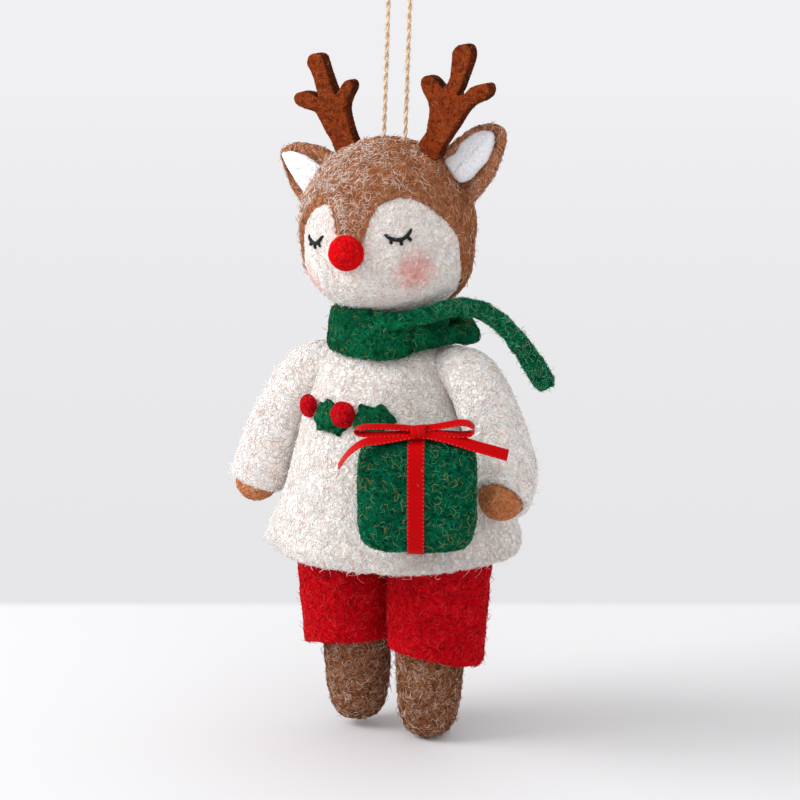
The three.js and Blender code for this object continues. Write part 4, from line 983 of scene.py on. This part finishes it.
# Inside the cuff: the way beyond the sleeve's end and the radius there
CUFF_INSIDE = np.array([(0.7, 4.95), (0.0, 4.9), (-2.0, 4.85)])
hand_felt = wool_felt("brown_hand_felt", "#BE6A3C #CE8250 #E4B290 #8A4824", 0.5, 0.65)
hand_hair = wool_fibres("brown_hand_fibre", "#D4905E #BE7040 #ECC4A0 #A65E34")
for side, seed in (("left", 70), ("right", 75)):
    sign = SIDE[side]
    path = smooth_line(np.array(ARM_LINES[side]) * [sign, -1, 1], 90)
    radius = np.interp(np.linspace(0, 1, 90), ARM_SHARES, ARM_RADII[side])
    end, direction = path[-1], unit(path[-1] - path[-2])
    across, out = side_frames(path)
    cuff_angle = np.linspace(0, np.pi / 2, 8)[1:]
    cuff_path = np.vstack([end + direction * CUFF_LIP * np.sin(cuff_angle)[:, None],
                           end + direction * CUFF_INSIDE[:, :1]])
    cuff_radius = np.append(CUFF_RADIUS - CUFF_TURN_IN * (1 - np.cos(cuff_angle)), CUFF_INSIDE[:, 1])
    sleeve_grid = np.concatenate([tube(path, radius, across, out, 56),
                                  tube(cuff_path, cuff_radius, across[-1], out[-1], 56)])
    sleeve = skin(f"felt_sleeve_{side}", felted(sleeve_grid, 0.13, 5.0, seed))
    dress(sleeve, cream_felt, f"arm_{side}", "cream_felt", [f"sleeve_{side}"])
    # The side that lies against the tunic is rubbed bare of loose hairs
    coat(f"sleeve_fibres_{side}", sleeve, 3800, seed + 1, cream_hair, length=(1.6, 3.4), thick=0.11,
         arch=0.24, curl=3.4, reach=1.4, roundness=7, stations=6,
         keep=lambda middles, outward: outward[:, 0] * sign > -0.15)
    stub = np.linspace(-5, HAND_END, 44)
    rounding = np.clip((HAND_END - stub) / HAND_ROUND, 0, 1)
    hand_radius = HAND_RADIUS * np.sqrt(np.maximum(1 - (1 - rounding) ** 2, 0.003))
    hand_grid = tube(end + direction * stub[:, None], hand_radius, across[-1], out[-1], 56)
    hand = skin(f"felt_hand_{side}", felted(hand_grid, 0.08, 3.0, seed + 2))
    dress(hand, hand_felt, f"arm_{side}", "hand_felt", [f"hand_{side}"])
    coat(f"hand_fibres_{side}", hand, 800, seed + 3, hand_hair, length=(0.7, 1.6), thick=0.1, arch=0.12,
         strays=0.08, reach=0.6, roundness=5)

# %% [markdown]
# The legs are stuffed tapering stumps of darker brown wool, rounded off at the foot.

# %% Legs
# The shorts hide the wool above this height, so no fibre lies there
SHORTS_COVER = 26
# Height above the sole and radius
LEG_PROFILE = [(0, 0.15), (0.25, 2.2), (0.9, 3.9), (2, 5), (4, 6), (7, 6.65), (11, 7.05), (17, 7.4),
               (24, 7.7), (40, 8.1), (52, 8), (57, 5.5), (59.4, 0.3)]
leg_felt = wool_felt("brown_leg_felt", "#80482A #985C38 #BE9A84 #40200F", 0.6, 0.85)
leg_hair = wool_fibres("brown_leg_fibre", "#C4A692 #8A5234 #DCC8BA #5E3420 #A87452 #B48E76 #7A4426")
for side, sole, seed in (("left", -2.0, 80), ("right", -0.8, 84)):
    above, radius = smooth_line(LEG_PROFILE, 90).T
    height = sole + above
    # Its middle line is 8.9 mm from the figure's middle at the sole and 10.2 mm at the hip
    lean = SIDE[side] * np.interp(height, [-2, 58], [8.9, 10.2])
    leg_grid = lathe(height, radius, 64, middle_x=lean[:, None])
    leg = skin(f"stuffed_leg_{side}", felted(leg_grid, 0.12, 3.6, seed))
    dress(leg, leg_felt, f"leg_{side}", "leg_felt", [f"leg_{side}"])
    coat(f"leg_fibres_{side}", leg, 3300, seed + 1, leg_hair, length=(1.6, 3.6), arch=0.28, curl=3.6,
         reach=1.2, roundness=7.5, stations=6, keep=lambda middles, outward: middles[:, 2] < SHORTS_COVER)

# %% [markdown]
# The shorts are two tubes of red felt, each sewn up its outer side, where the seam stands
# out as a soft corner. The hem drops towards that corner. As with the tunic, the rings run
# down the outside, round the edge and up the inside.

# %% Shorts
SHORTS_TOP, SHORTS_HEM, SHORTS_HALF_WIDTH, SHORTS_HALF_DEPTH, SHORTS_FELT = 45.8, 19.6, 11.6, 12.0, 1.1
SHORTS_MIDDLE, SHORTS_NARROWING, SHORTS_DROP = 11.9, 1.35, 3.2
# Fibres lie outside, as seen from a tube's middle line, and below the height that the tunic hides
TUBE_CENTRE, TUNIC_COVER = 10.8, 41.5


def shorts_surface(side):
    """An oval tube that narrows on each side towards the hem. Its seam stands out by
    (0.3 + 0.6 * share) * max(cos, 0)^12, and the hem drops by SHORTS_DROP * ((1 + cos) / 2)^3."""
    def surface(share, around, inward):
        x, y = np.cos(around), np.sin(around)
        narrowed = inward + SHORTS_NARROWING * share
        centre = SHORTS_MIDDLE - SHORTS_NARROWING * share
        seam = (0.3 + 0.6 * share) * np.maximum(x, 0) ** 12
        height = SHORTS_TOP + (SHORTS_HEM - SHORTS_TOP) * share - SHORTS_DROP * ((1 + x) / 2) ** 3 * share
        wave = 0.25 * share * np.sin(3 * around + 1.0)
        return np.stack([side * (centre + (SHORTS_HALF_WIDTH - narrowed) * x + seam),
                         (SHORTS_HALF_DEPTH - narrowed + wave) * y, height + 0 * x], -1)
    return surface


red_felt = wool_felt("red_shorts_felt", "#C20210 #D40414 #E82C34 #800008", 0.35, 0.75)
red_hair = wool_fibres("red_shorts_fibre", "#DC0818 #C40412 #F03C44 #A0020C #E01420")
for side, seed in (("left", 90), ("right", 94)):
    shorts_grid = hemmed(shorts_surface(SIDE[side]), np.linspace(0, 1, 50), np.linspace(1, 0, 20),
                         SHORTS_FELT, 7, 120)
    shorts = skin(f"felt_shorts_{side}", felted(shorts_grid, 0.13, 4.5, seed), loop=True)
    dress(shorts, red_felt, f"leg_{side}", "red_felt", [f"shorts_{side}"])
    centre_x = SIDE[side] * TUBE_CENTRE
    shorts_hair = coat(
        f"shorts_fibres_{side}", shorts, 4200, seed + 1, red_hair, length=(1.2, 3.0), thick=0.11, arch=0.26,
        curl=3.2, reach=1.3, roundness=12, keep=lambda middles, outward: (middles[:, 2] < TUNIC_COVER)
        * ((outward[:, 0] * (middles[:, 0] - centre_x) + outward[:, 1] * middles[:, 1]) > -0.2))

# %% [markdown]
# The scarf is a strip of green felt, 10 mm wide and 2 mm thick. An inner turn and a wrap over
# it go round the neck, and the narrow end is thrown out over the left shoulder. A band is a
# flat rounded section carried along a line, with a direction for its width at each point.

# %% Bands of felt and ribbon
def section(columns, squareness):
    """A flat section from -1 to 1 both ways: sign(cos)|cos|^q across and sign(sin)|sin|^q out."""
    angle = ring_angles(columns) + np.pi / columns
    return [np.sign(wave) * np.abs(wave) ** squareness for wave in (np.cos(angle), np.sin(angle))]


def band(line, across, width, thickness, columns=24, squareness=0.35):
    """Rings of a flat section: half the width across and half the thickness out."""
    along = unit(np.gradient(line, axis=0))
    across = unit(across - (across * along).sum(1, keepdims=True) * along)
    out = np.cross(along, across)
    width, thickness, squareness = (np.broadcast_to(value, len(line))[:, None]
                                    for value in (width, thickness, squareness))
    flat, high = section(columns, squareness)
    return (line[:, None] + (width / 2 * flat)[..., None] * across[:, None]
            + (thickness / 2 * high)[..., None] * out[:, None])


def closed_band(line, across, *sizes_and_columns):
    """A band along a closed line: its first ring comes once more to give the others their direction."""
    again = [np.append(value, value[0]) if np.ndim(value) else value for value in sizes_and_columns]
    return band(np.vstack([line, line[:1]]), np.vstack([across, across[:1]]), *again)[:-1]


print("a band's section reaches", round(float(section(24, 0.35)[0].max()), 2), "of its half width")

# %% Wrap of the scarf
SCARF_FELT, SCARF_WIDTH = 2.1, 10.2
# Lower and upper edge of the wrap by the angle round the neck, in degrees and millimetres
WRAP_ANGLES = [-180, -142, -111, -93, -72, -56, -43, -32, -6, 29, 60, 95, 140, 180]
WRAP_BOTTOM = [85.6, 85.2, 84.7, 84.5, 84.4, 84.9, 86, 86.6, 87.2, 85.4, 85.6, 86, 85.8, 85.6]
WRAP_TOP = [93, 93.3, 94.4, 94.6, 94.5, 93.9, 92.4, 90.7, 90.2, 90.2, 91.6, 93.4, 93.6, 93]
# The wrap stands off by WRAP_LOOSE and leans out more where the tail lifts it, left of the front
WRAP_RADIUS, WRAP_LOOSE, LOOSE_AT, LOOSE_SPAN, WRAP_SHIFT = 13.4, 2.6, math.radians(30), 0.75, 0.6
around = ring_angles(150) - np.pi
low = np.interp(np.degrees(around), WRAP_ANGLES, WRAP_BOTTOM)
high = np.interp(np.degrees(around), WRAP_ANGLES, WRAP_TOP)
loose = np.exp(-((around - LOOSE_AT) / LOOSE_SPAN) ** 2)
wrap_radius = WRAP_RADIUS + WRAP_LOOSE * loose + 0.2 * np.sin(5 * around)
wrap_line = np.stack([WRAP_SHIFT + wrap_radius * np.cos(around), wrap_radius * np.sin(around),
                      (low + high) / 2], -1)
lean = 0.12 + 0.3 * loose
wrap_across = np.stack([-lean * np.cos(around), -lean * np.sin(around), np.ones_like(around)], -1)
wrap_width = high - low + 0.3
wrap_grid = closed_band(wrap_line, wrap_across, wrap_width, SCARF_FELT + 1.6 * loose, 40, 0.4 + 0.35 * loose)
scarf_wrap = skin("scarf_wrap", felted(wrap_grid, 0.12, 4.0, 101), loop=True)
print("wrap:", round(float(wrap_width.min()), 1), "to", round(float(wrap_width.max()), 1), "mm high")

# %% Inner turn and tail of the scarf
# The inner turn is seen through the slit between the wrap and the tail
INNER_RADIUS, INNER_DROP, INNER_WIDTH, INNER_FELT = 11.3, 3.8, 7.6, 1.4
inner_around = np.radians(np.linspace(-80, 270, 110))
inner_top = np.interp(np.degrees(inner_around), [-80, 0, 60, 120, 270], [93.6, 94.2, 95.0, 95.2, 94.6])
inner_line = np.stack([INNER_RADIUS * np.cos(inner_around), INNER_RADIUS * np.sin(inner_around),
                       inner_top - INNER_DROP], -1)
inner_grid = band(inner_line, np.array([[0.0, 0.0, 1.0]]) + 0 * inner_line, INNER_WIDTH, INNER_FELT, 32)
scarf_inner = skin("scarf_inner_turn", felted(inner_grid, 0.1, 4.0, 105))

# Middle line of the tail, from under the wrap's edge over the shoulder to its end
TAIL_LINE = [(2.5, -13, 91.4), (6.4, -12.8, 92.2), (9.6, -11.8, 93.2), (13.1, -8.9, 94.2), (15.6, -5.2, 95),
             (18.2, -3.4, 95.6), (21.5, -2.5, 95.3), (23.7, -1, 94.2), (25.9, 0.5, 92.3), (28.4, 2, 89.2),
             (30.9, 3, 85.7), (33.4, 3.8, 81.8), (35.5, 4.2, 78.3)]
tail_line = smooth_line(TAIL_LINE, 120)
tail_way = np.linspace(0, 1, 120)[:, None]
tail_facing = unit(np.array([0.55, -0.83, 0.05]) * (1 - tail_way) ** 2
                   + np.array([0.0, -1.0, 0.05]) * (1 - (1 - tail_way) ** 2))
tail_across = np.cross(unit(np.gradient(tail_line, axis=0)), tail_facing)
tail_width = np.interp(tail_way[:, 0], [0, 0.1, 0.25, 0.4, 0.7, 0.9, 0.97, 1],
                       [2.6, 3.2, 3.5, 3.5, 3.8, 4.7, 4.5, 2.8])
tail_grid = band(tail_line, tail_across, tail_width, SCARF_FELT, 32)
scarf_tail = skin("scarf_tail", felted(tail_grid, 0.1, 4.0, 102))
print("tail:", round(float(tail_width.max()), 1), "mm wide at most")

# %% Finish of the scarf
green_felt = wool_felt("green_scarf_felt", "#03462A #076A44 #16784C #00140B", 0.35, 0.8)
green_hair = wool_fibres("green_scarf_fibre",
                         "#065434 #0C6C48 #033A22 #7E8048 #168A5C #054A2C #085C3A #1A9064 #065434")
# The tail's loose hairs get paler greens than the wrap's: a painted highlight for the key lamp's light on
# them
pale_tail_fibre = wool_fibres("green_tail_fibre_highlight", "#0C6C48 #2E9A70 #86A884 #168A5C #0A5A3A #4CB088")
dress(scarf_wrap, green_felt, "figure", "green_felt", ["scarf"])
dress(scarf_tail, green_felt, "figure", "green_felt")
dress(scarf_inner, green_felt, "figure", "green_felt")
wrap_hair = coat("scarf_wrap_fibres", scarf_wrap, 3600, 103, green_hair, length=(1.2, 3.2), thick=0.1,
                 arch=0.26, curl=3.2, reach=1.3, roundness=15)
# The part of the tail that lies on the wrap is rubbed flat: it keeps RUBBED of its hairs, and from
# RUB_END outward they come back within RUB_FADE
RUBBED, RUB_END, RUB_FADE = 0.15, 11.0, 6.0
tail_hair = coat("scarf_tail_fibres", scarf_tail, 2100, 104, pale_tail_fibre, length=(1.0, 2.8), thick=0.09,
                 arch=0.2, strays=0.1, reach=1.3, roundness=40,
                 keep=lambda middles, outward: RUBBED + (1 - RUBBED) * soft_step(
                     (middles[:, 0] - RUB_END) / RUB_FADE))

# %% [markdown]
# The parcel is a felted block of green wool with soft bulging faces. A superellipsoid
# does that: a direction d is stretched until |x|^n + |y|^n + |z|^n = 1, and n near 5 gives
# a box with round edges. It stands before the tunic, turned towards the camera.

# %% Felt parcel
GIFT_CENTRE, GIFT_HALF = np.array([20.1, -24.6, 59.9]), np.array([12.2, 7.5, 11.8])
GIFT_ROUND = 5.0
gift_pose = upright_turn(math.radians(27))


def at_gift(points):
    """From the parcel's own frame, front to -Y, to its place before the tunic."""
    return points @ gift_pose.T + GIFT_CENTRE


up, around = np.linspace(-1.55, 1.55, 90)[:, None], ring_angles(150)[None]
way_out = np.stack([np.cos(up) * np.cos(around), np.cos(up) * np.sin(around), np.sin(up) + 0 * around], -1)
stretch = (np.abs(way_out) ** GIFT_ROUND).sum(-1, keepdims=True) ** (-1 / GIFT_ROUND)
gift = skin("felt_parcel", felted(at_gift(GIFT_HALF * way_out * stretch), 0.14, 5.0, 111))
dress(gift, wool_felt("green_parcel_felt", "#024E34 #046646 #0E8058 #00120A", 0.45, 0.9),
      "figure", "green_felt", ["gift_box"])
gift_hair = wool_fibres("green_parcel_fibre",
                        "#066040 #0E8058 #023A24 #9A945A #2AA678 #045036 #0A6E4C #066044")
coat("parcel_fibres", gift, 6000, 112, gift_hair, length=(1.2, 3.4), thick=0.1, arch=0.26, curl=3.6,
     reach=1.2, roundness=30)

# %% [markdown]
# Satin ribbon: polyester woven so that long floats lie on top, which gives a bright soft
# gloss across the ribbon, and firm selvedges with tiny loops. The band goes over the top,
# front and underside of the parcel, and the bow is one ribbon tied on its upper edge.
# Its weave follows the cloth, so the ribbon carries its own UV map: the way along it in
# millimetres, and its width from -1 to 1.

# %% Satin ribbon material
LOOP_PITCH = 0.9
satin, tree, place = new_material("red_satin_ribbon")
weave = add_node(tree, "UVMap", uv_map="weave")
width_way = add_node(tree, "SeparateXYZ", {"Vector": weave}, "Y")
edge_way = add_node(tree, "Math", {0: width_way}, operation="ABSOLUTE")
selvedge = add_node(tree, "MapRange", {"Value": edge_way, "From Min": 0.78, "From Max": 0.88})
# A wave texture of scale 1 has 20 / (2 pi) bands per unit
loops = add_node(tree, "TexWave", {"Vector": weave, "Scale": 2 * math.pi / 20 / LOOP_PITCH}, "Fac",
                 wave_type="BANDS", bands_direction="X")
loop_top = add_node(tree, "MapRange", {"Value": loops, "From Min": 0.78, "From Max": 0.98})
loop_mark = add_node(tree, "Math", {0: loop_top, 1: selvedge}, operation="MULTIPLY")
floats = add_node(tree, "TexNoise", {"Vector": weave, "Scale": 3.0, "Detail": 2})
shade = add_node(tree, "Mix", {"Factor": floats, "A": "#AC0004", "B": "#C60006"}, data_type="RGBA")
shade = add_node(tree, "Mix", {"Factor": loop_mark, "A": shade, "B": "#E24840"}, data_type="RGBA")
height = add_node(tree, "Math", {0: loop_mark, 1: floats}, operation="ADD")
bump = add_node(tree, "Bump", {"Height": height, "Strength": 0.35, "Distance": THREAD_RELIEF})
shader = add_node(tree, "BsdfPrincipled", {
    "Base Color": shade, "Roughness": 0.4, "Specular IOR Level": 0.05, "Normal": bump})
add_node(tree, "OutputMaterial", {"Surface": shader})
RIBBON_COLUMNS, RIBBON_SQUARENESS = 20, 0.3


def ribbon_strip(name, line, across, width, thickness):
    """A ribbon with a UV map: u is the way along in millimetres, v runs from -1 to 1 across."""
    strip = skin(name, band(line, across, width, thickness, RIBBON_COLUMNS, RIBBON_SQUARENESS))
    way, flat = way_along(line), section(RIBBON_COLUMNS, RIBBON_SQUARENESS)[0]
    u = np.concatenate([np.repeat(way, RIBBON_COLUMNS), [way[0], way[-1]]])
    v = np.concatenate([np.tile(flat, len(line)), [0, 0]])
    corner = np.zeros(len(strip.data.loops), np.int32)
    strip.data.loops.foreach_get("vertex_index", corner)
    layer = strip.data.uv_layers.new(name="weave")
    layer.data.foreach_set("uv", np.stack([u[corner], v[corner]], -1).astype(np.float32).ravel())
    return strip


print("selvedge loops every", LOOP_PITCH, "mm")

# %% Ribbon band, bow and knot
KNOT_PLACE = np.array([0.4, -3.5, 13.8])
BAND_WIDTH, BAND_THICKNESS, BAND_RISE, BOW_WIDTH, BOW_THICKNESS = 3.5, 0.32, 0.42, 2.7, 0.28
# The band starts on the parcel's top and ends under it, in degrees round its middle section
BAND_START, BAND_END = 62, 298
# Each ribbon of the bow: places across, back and up from the knot, and its turn at both ends in degrees
BOW_LINES = {
    "loop_left_side": ([(0, 0.2, 0.5), (3.4, 0.3, 0.9), (6.4, 0.2, 1.5), (8.6, 0, 1.95), (10.4, -0.2, 1.75),
        (11.4, -0.4, 0.8), (10.9, -0.6, -0.1), (9, -0.7, -0.4), (5.5, -0.6, -0.3), (0, 0, -0.3)], 16, 16),
    "loop_right_side": ([(0, 0.2, 0.5), (-4.5, 0.3, 0.75), (-8.4, 0.2, 0.85), (-11.2, 0, 0.75),
        (-12.8, -0.3, 0.2), (-12.4, -0.7, -0.4), (-9.8, -0.9, -0.55), (-5, -0.7, -0.45),
        (0, 0, -0.35)], 12, 12),
    "tail_left_side": ([(0, -0.9, 0), (3.5, -1.5, -0.4), (7, -2, -1.1), (11.8, -2.4, -2.45),
        (15.2, -2.3, -3.4), (18.5, -2, -4.4)], 38, 50),
    "tail_right_side": ([(0, -0.9, -0.3), (-4.5, -2, -0.95), (-8, -3.2, -1.3), (-10.8, -4, -1.5),
        (-12.9, -4.3, -2.6), (-14.6, -4.2, -4.2), (-16.3, -3.8, -6.7)], 20, 22),
}


def parcel_outline(angle, grow):
    """The parcel's middle section at x = 0, grown outward by a distance."""
    y, z = np.cos(angle), np.sin(angle)
    reach = (np.abs(y) ** GIFT_ROUND + np.abs(z) ** GIFT_ROUND) ** (-1 / GIFT_ROUND)
    point = np.stack([0 * y, GIFT_HALF[1] * y * reach, GIFT_HALF[2] * z * reach], -1)
    normal = np.stack([0 * y, np.sign(y) * np.abs(y * reach) ** (GIFT_ROUND - 1) / GIFT_HALF[1],
                       np.sign(z) * np.abs(z * reach) ** (GIFT_ROUND - 1) / GIFT_HALF[2]], -1)
    return point + grow * unit(normal)


def twisted_across(line, start_turn, end_turn):
    """A width direction that leans from the depth towards upright by an angle, square to the line."""
    along = unit(np.gradient(line, axis=0))
    angle = np.radians(np.linspace(start_turn, end_turn, len(line)))[:, None]
    wanted = np.array([0.0, 1.0, 0.0]) * np.cos(angle) + np.array([0.0, 0.0, 1.0]) * np.sin(angle)
    return unit(wanted - (wanted * along).sum(1, keepdims=True) * along)


band_angle = np.radians(np.linspace(BAND_START, BAND_END, 150))
band_line = smooth_line(at_gift(parcel_outline(band_angle, BAND_RISE)), 150)
sideways = np.broadcast_to(gift_pose @ np.array([1.0, 0, 0]), band_line.shape)
dress(ribbon_strip("satin_band", band_line, sideways, BAND_WIDTH, BAND_THICKNESS), satin,
      "figure", "satin", ["gift_ribbon"])

strips = []
for part, (points, first_turn, last_turn) in BOW_LINES.items():
    line = smooth_line(points, 60)
    across = twisted_across(line, first_turn, last_turn) @ gift_pose.T
    strips.append(ribbon_strip(f"bow_{part}", at_gift(KNOT_PLACE + line), across, BOW_WIDTH, BOW_THICKNESS))
dress(join(strips, "satin_bow"), satin, "figure", "satin", ["ribbon_bow"])

knot_angle = ring_angles(40)
knot_line = np.stack([0.12 * np.sin(2 * knot_angle), 1.7 * np.cos(knot_angle) - 0.6,
                      1.15 * np.sin(knot_angle)], -1)
knot_across = np.broadcast_to(np.array([1.0, 0.15, 0.1]), knot_line.shape)
knot_grid = closed_band(knot_line, knot_across, 3.0, 0.6, 20, 0.4)
knot = skin("satin_knot", at_gift(KNOT_PLACE + knot_grid), loop=True)
knot.data.uv_layers.new(name="weave")
dress(knot, satin, "figure", "satin", ["ribbon_knot"])

# %% [markdown]
# Two felt holly leaves and two red felt berries are glued across the chest. A leaf is cut
# like an antler and bent to the tunic's round front, so its outline lies on the cloth.

# %% Holly outlines
# The leaves' outlines, picked on the photograph in its pixels
LEAF_OUTLINES = {
    "holly_leaf_1": [(314.8, 411.5), (317.2, 406.5), (319, 401.6), (319.6, 401.2), (323.2, 401.8),
        (326.2, 398.7), (326.8, 398.6), (330.6, 402.6), (335, 406), (340, 410), (345, 420), (343, 427.6),
        (338.6, 431), (335.8, 435), (335.2, 435.2), (331.6, 430.8), (327.4, 427.4), (322.4, 426.4),
        (316.4, 429.3), (315.8, 429.1), (315.4, 423.4), (313, 418.6)],
    "holly_leaf_2": [(357.6, 412), (357.9, 406), (361, 403.4), (364.5, 404.8), (368, 406.1), (374.7, 407.1),
        (376.7, 405.4), (380.7, 403.6), (383.4, 405.7), (386.5, 409.5), (389.4, 413.1), (392.8, 416.1),
        (395.4, 420.5), (394.8, 422.1), (388.8, 425.5), (384, 428), (381, 433), (377, 434.5), (372, 431),
        (366, 430.5), (361, 434), (357.5, 433.5), (354.5, 429.5), (352.6, 425.5), (350, 419)],
}
LEAF_TURNS = {"holly_leaf_1": -21, "holly_leaf_2": 13}
# Angle round the chest, height above the leaves' middle and radius
BERRIES = {"holly_berry_1": (-38, 0.5, 2.5), "holly_berry_2": (-3.5, 0.5, 2.9)}
LEAF_FELT, LEAF_ROUNDING, HOLLY_HEIGHT, BERRY_SQUASH, BERRY_SEAT = 1.5, 0.3, 72.4, 0.72, 1.3
print("outline points:", [len(outline) for outline in LEAF_OUTLINES.values()])


# %% Holly on the cloth
def tunic_radius(height):
    """Radius of the tunic at a height, from the same profile."""
    return HEM_RADIUS * np.interp((height - HEM) / (SHOULDER - HEM), *TUNIC_SHARES.T)


def on_cloth(around_degrees, height):
    """A point of the tunic's front and the direction out of the cloth there, from the profile's slope."""
    angle = math.radians(around_degrees)
    radius, above = tunic_radius(height), tunic_radius(height + 1)
    outward = np.array([math.sin(angle), -TUNIC_DEPTH * math.cos(angle), 0.0])
    return radius * outward + np.array([0, 0, height]), unit(outward + np.array([0, 0, radius - above]))


def onto_tunic(points, rise):
    """Slides points along their sight lines until they lie a rise above the tunic. Each step is the
    height that is still missing, since a sight line meets the tunic's front almost head on."""
    sight = unit(points - eye_point)
    for _ in range(12):
        missing = np.hypot(points[:, 0], points[:, 1] / TUNIC_DEPTH) - tunic_radius(points[:, 2]) - rise
        points = points + missing[:, None] * sight
    return points


holly_green = wool_felt("green_leaf_felt", "#04482C #085E3C #1C7A50 #00140B", 0.35, 0.8)
holly_hair = wool_fibres("green_leaf_fibre", "#147450 #0A5A38 #98925A")
berry_red = wool_felt("red_berry_felt", "#BC0210 #D00414 #E8303A #780008", 0.35, 0.75)
berry_hair = wool_fibres("red_berry_fibre", "#C80C1C #E4303C #A0040E")
for name, around_degrees in LEAF_TURNS.items():
    middle, out_of_cloth = on_cloth(around_degrees, HOLLY_HEIGHT)
    outline = onto_tunic(on_plane(LEAF_OUTLINES[name], middle, out_of_cloth), LEAF_FELT)
    rings = cut_felt(smooth_line(outline, 140, closed=True), out_of_cloth, LEAF_FELT, LEAF_ROUNDING)
    leaf = skin(f"cut_{name}", rings, flat_ends=True)
    dress(leaf, holly_green, "figure", "green_felt", [name])
    coat(f"{name}_fibres", leaf, 320, 122, holly_hair, length=(0.5, 1.6), thick=0.08, arch=0.08,
         strays=0.05, reach=0.3, roundness=30)
for name, (around_degrees, rise, radius) in BERRIES.items():
    angle = math.radians(around_degrees)
    outward = np.array([math.sin(angle), -math.cos(angle), 0.0])
    middle = ((tunic_radius(HOLLY_HEIGHT) + BERRY_SEAT) * outward * np.array([1, TUNIC_DEPTH, 1])
              + np.array([0, 0, HOLLY_HEIGHT + rise]))
    berry = skin(f"felt_{name}", small_ball(middle, outward, radius, BERRY_SQUASH, 123))
    dress(berry, berry_red, "figure", "red_felt", [name])
    coat(f"{name}_fibres", berry, 420, 124, berry_hair, length=(0.5, 1.2), thick=0.09, arch=0.08,
         reach=0.3, roundness=3)

# %% [markdown]
# Three solids stay as they are, inside the figure: the knot of the loop in the head, and
# the threads through the shoulders and hips. They get finishes too.

# %% Finishes of the hidden solids
for node, material in (("cord_anchor", jute), ("shoulder_thread", cotton), ("hip_thread", cotton)):
    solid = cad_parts[node]
    solid.data.materials.clear()
    solid.data.materials.append(material)
print("pieces:", len(triangle_counts), "triangles:", sum(triangle_counts.values()),
      "largest:", max(triangle_counts.values()))

# %% [markdown]
# The set is a plain pale table with a pale wall behind it, lit by one large soft lamp from
# the left, a weaker one from the right, and even light all round, so that wool shows its
# fibres and colours come out about as they are written. The wall is only a zone of the same
# floor that glows for the camera, darker near its corner with the table as painted shade, so
# that nothing stands in the way when the part is seen from behind.

# %% Table and light
FLOOR_HEIGHT, FLOOR_REACH, WALL_START, WALL_FULL = -2.45, 4000, 0.0965, 0.1015
SKY_STRENGTH, KEY_POWER, FILL_POWER = 0.865, 17.4, 0.5
corners = np.array([(-1, -1), (1, -1), (1, 1), (-1, 1)]) * FLOOR_REACH
floor = make_mesh("table_top", np.column_stack([corners, np.full(4, FLOOR_HEIGHT)]),
                  [np.array([[0, 1, 2, 3]])])
table, tree, place = new_material("white_table")
behind = (-math.sin(CAMERA_TURN), math.cos(CAMERA_TURN), 0.0)
depth = add_node(tree, "VectorMath", {0: place, 1: behind}, operation="DOT_PRODUCT")
wall_zone = add_node(tree, "MapRange", {"Value": depth, "From Min": WALL_START, "From Max": WALL_FULL})
# The wall glows for the camera instead of being lit, and painted shade darkens it towards its corner with
# the table
corner_shade_fade = add_node(tree, "MapRange", {"Value": depth, "From Min": 0.1, "From Max": 1.2})
wall_glow_colour = add_node(tree, "Mix", {"Factor": corner_shade_fade, "A": "#E6E6E8", "B": "#F0F0F2"},
                       data_type="RGBA")
wall = add_node(tree, "Emission", {"Color": wall_glow_colour})
matt = add_node(tree, "BsdfPrincipled", {
    "Base Color": "#E0E0E2", "Roughness": 0.7, "Specular IOR Level": 0.2})
seen = add_node(tree, "LightPath", out="Is Camera Ray")
wall_seen = add_node(tree, "Math", {0: wall_zone, 1: seen}, operation="MULTIPLY")
add_node(tree, "OutputMaterial", {"Surface": add_node(tree, "MixShader", {0: wall_seen, 1: matt, 2: wall})})
floor.data.materials.append(table)

world = bpy.data.worlds.new("studio")
bpy.context.scene.world = world
world.use_nodes = True
world.node_tree.nodes.clear()
sky = add_node(world.node_tree, "Background", {"Color": "#FFFFFF", "Strength": SKY_STRENGTH})
add_node(world.node_tree, "OutputWorld", {"Surface": sky})


def soft_lamp(name, toward, distance, size, power):
    """A square lamp at a distance in metres along a direction from the figure's middle, facing it."""
    lamp = add_object(name, bpy.data.lights.new(name, "AREA"))
    lamp.data.size, lamp.data.energy = size, power
    direction = Vector(unit(toward))
    lamp.location = Vector(to_frame(AIM)) + distance * direction
    lamp.rotation_mode = "QUATERNION"
    lamp.rotation_quaternion = direction.to_track_quat("Z", "Y")
    return lamp


key = soft_lamp("key_lamp", 0.3 * view_out - 1.0 * view_right + 0.6 * view_up, 1.5, 0.85, KEY_POWER)
fill = soft_lamp("fill_lamp", 0.9 * view_out + 0.2 * view_right + 0.3 * view_up, 1.0, 0.6, FILL_POWER)
bpy.context.scene.view_settings.view_transform = "Standard"
print("lamps:", key.data.energy, fill.data.energy, "W")
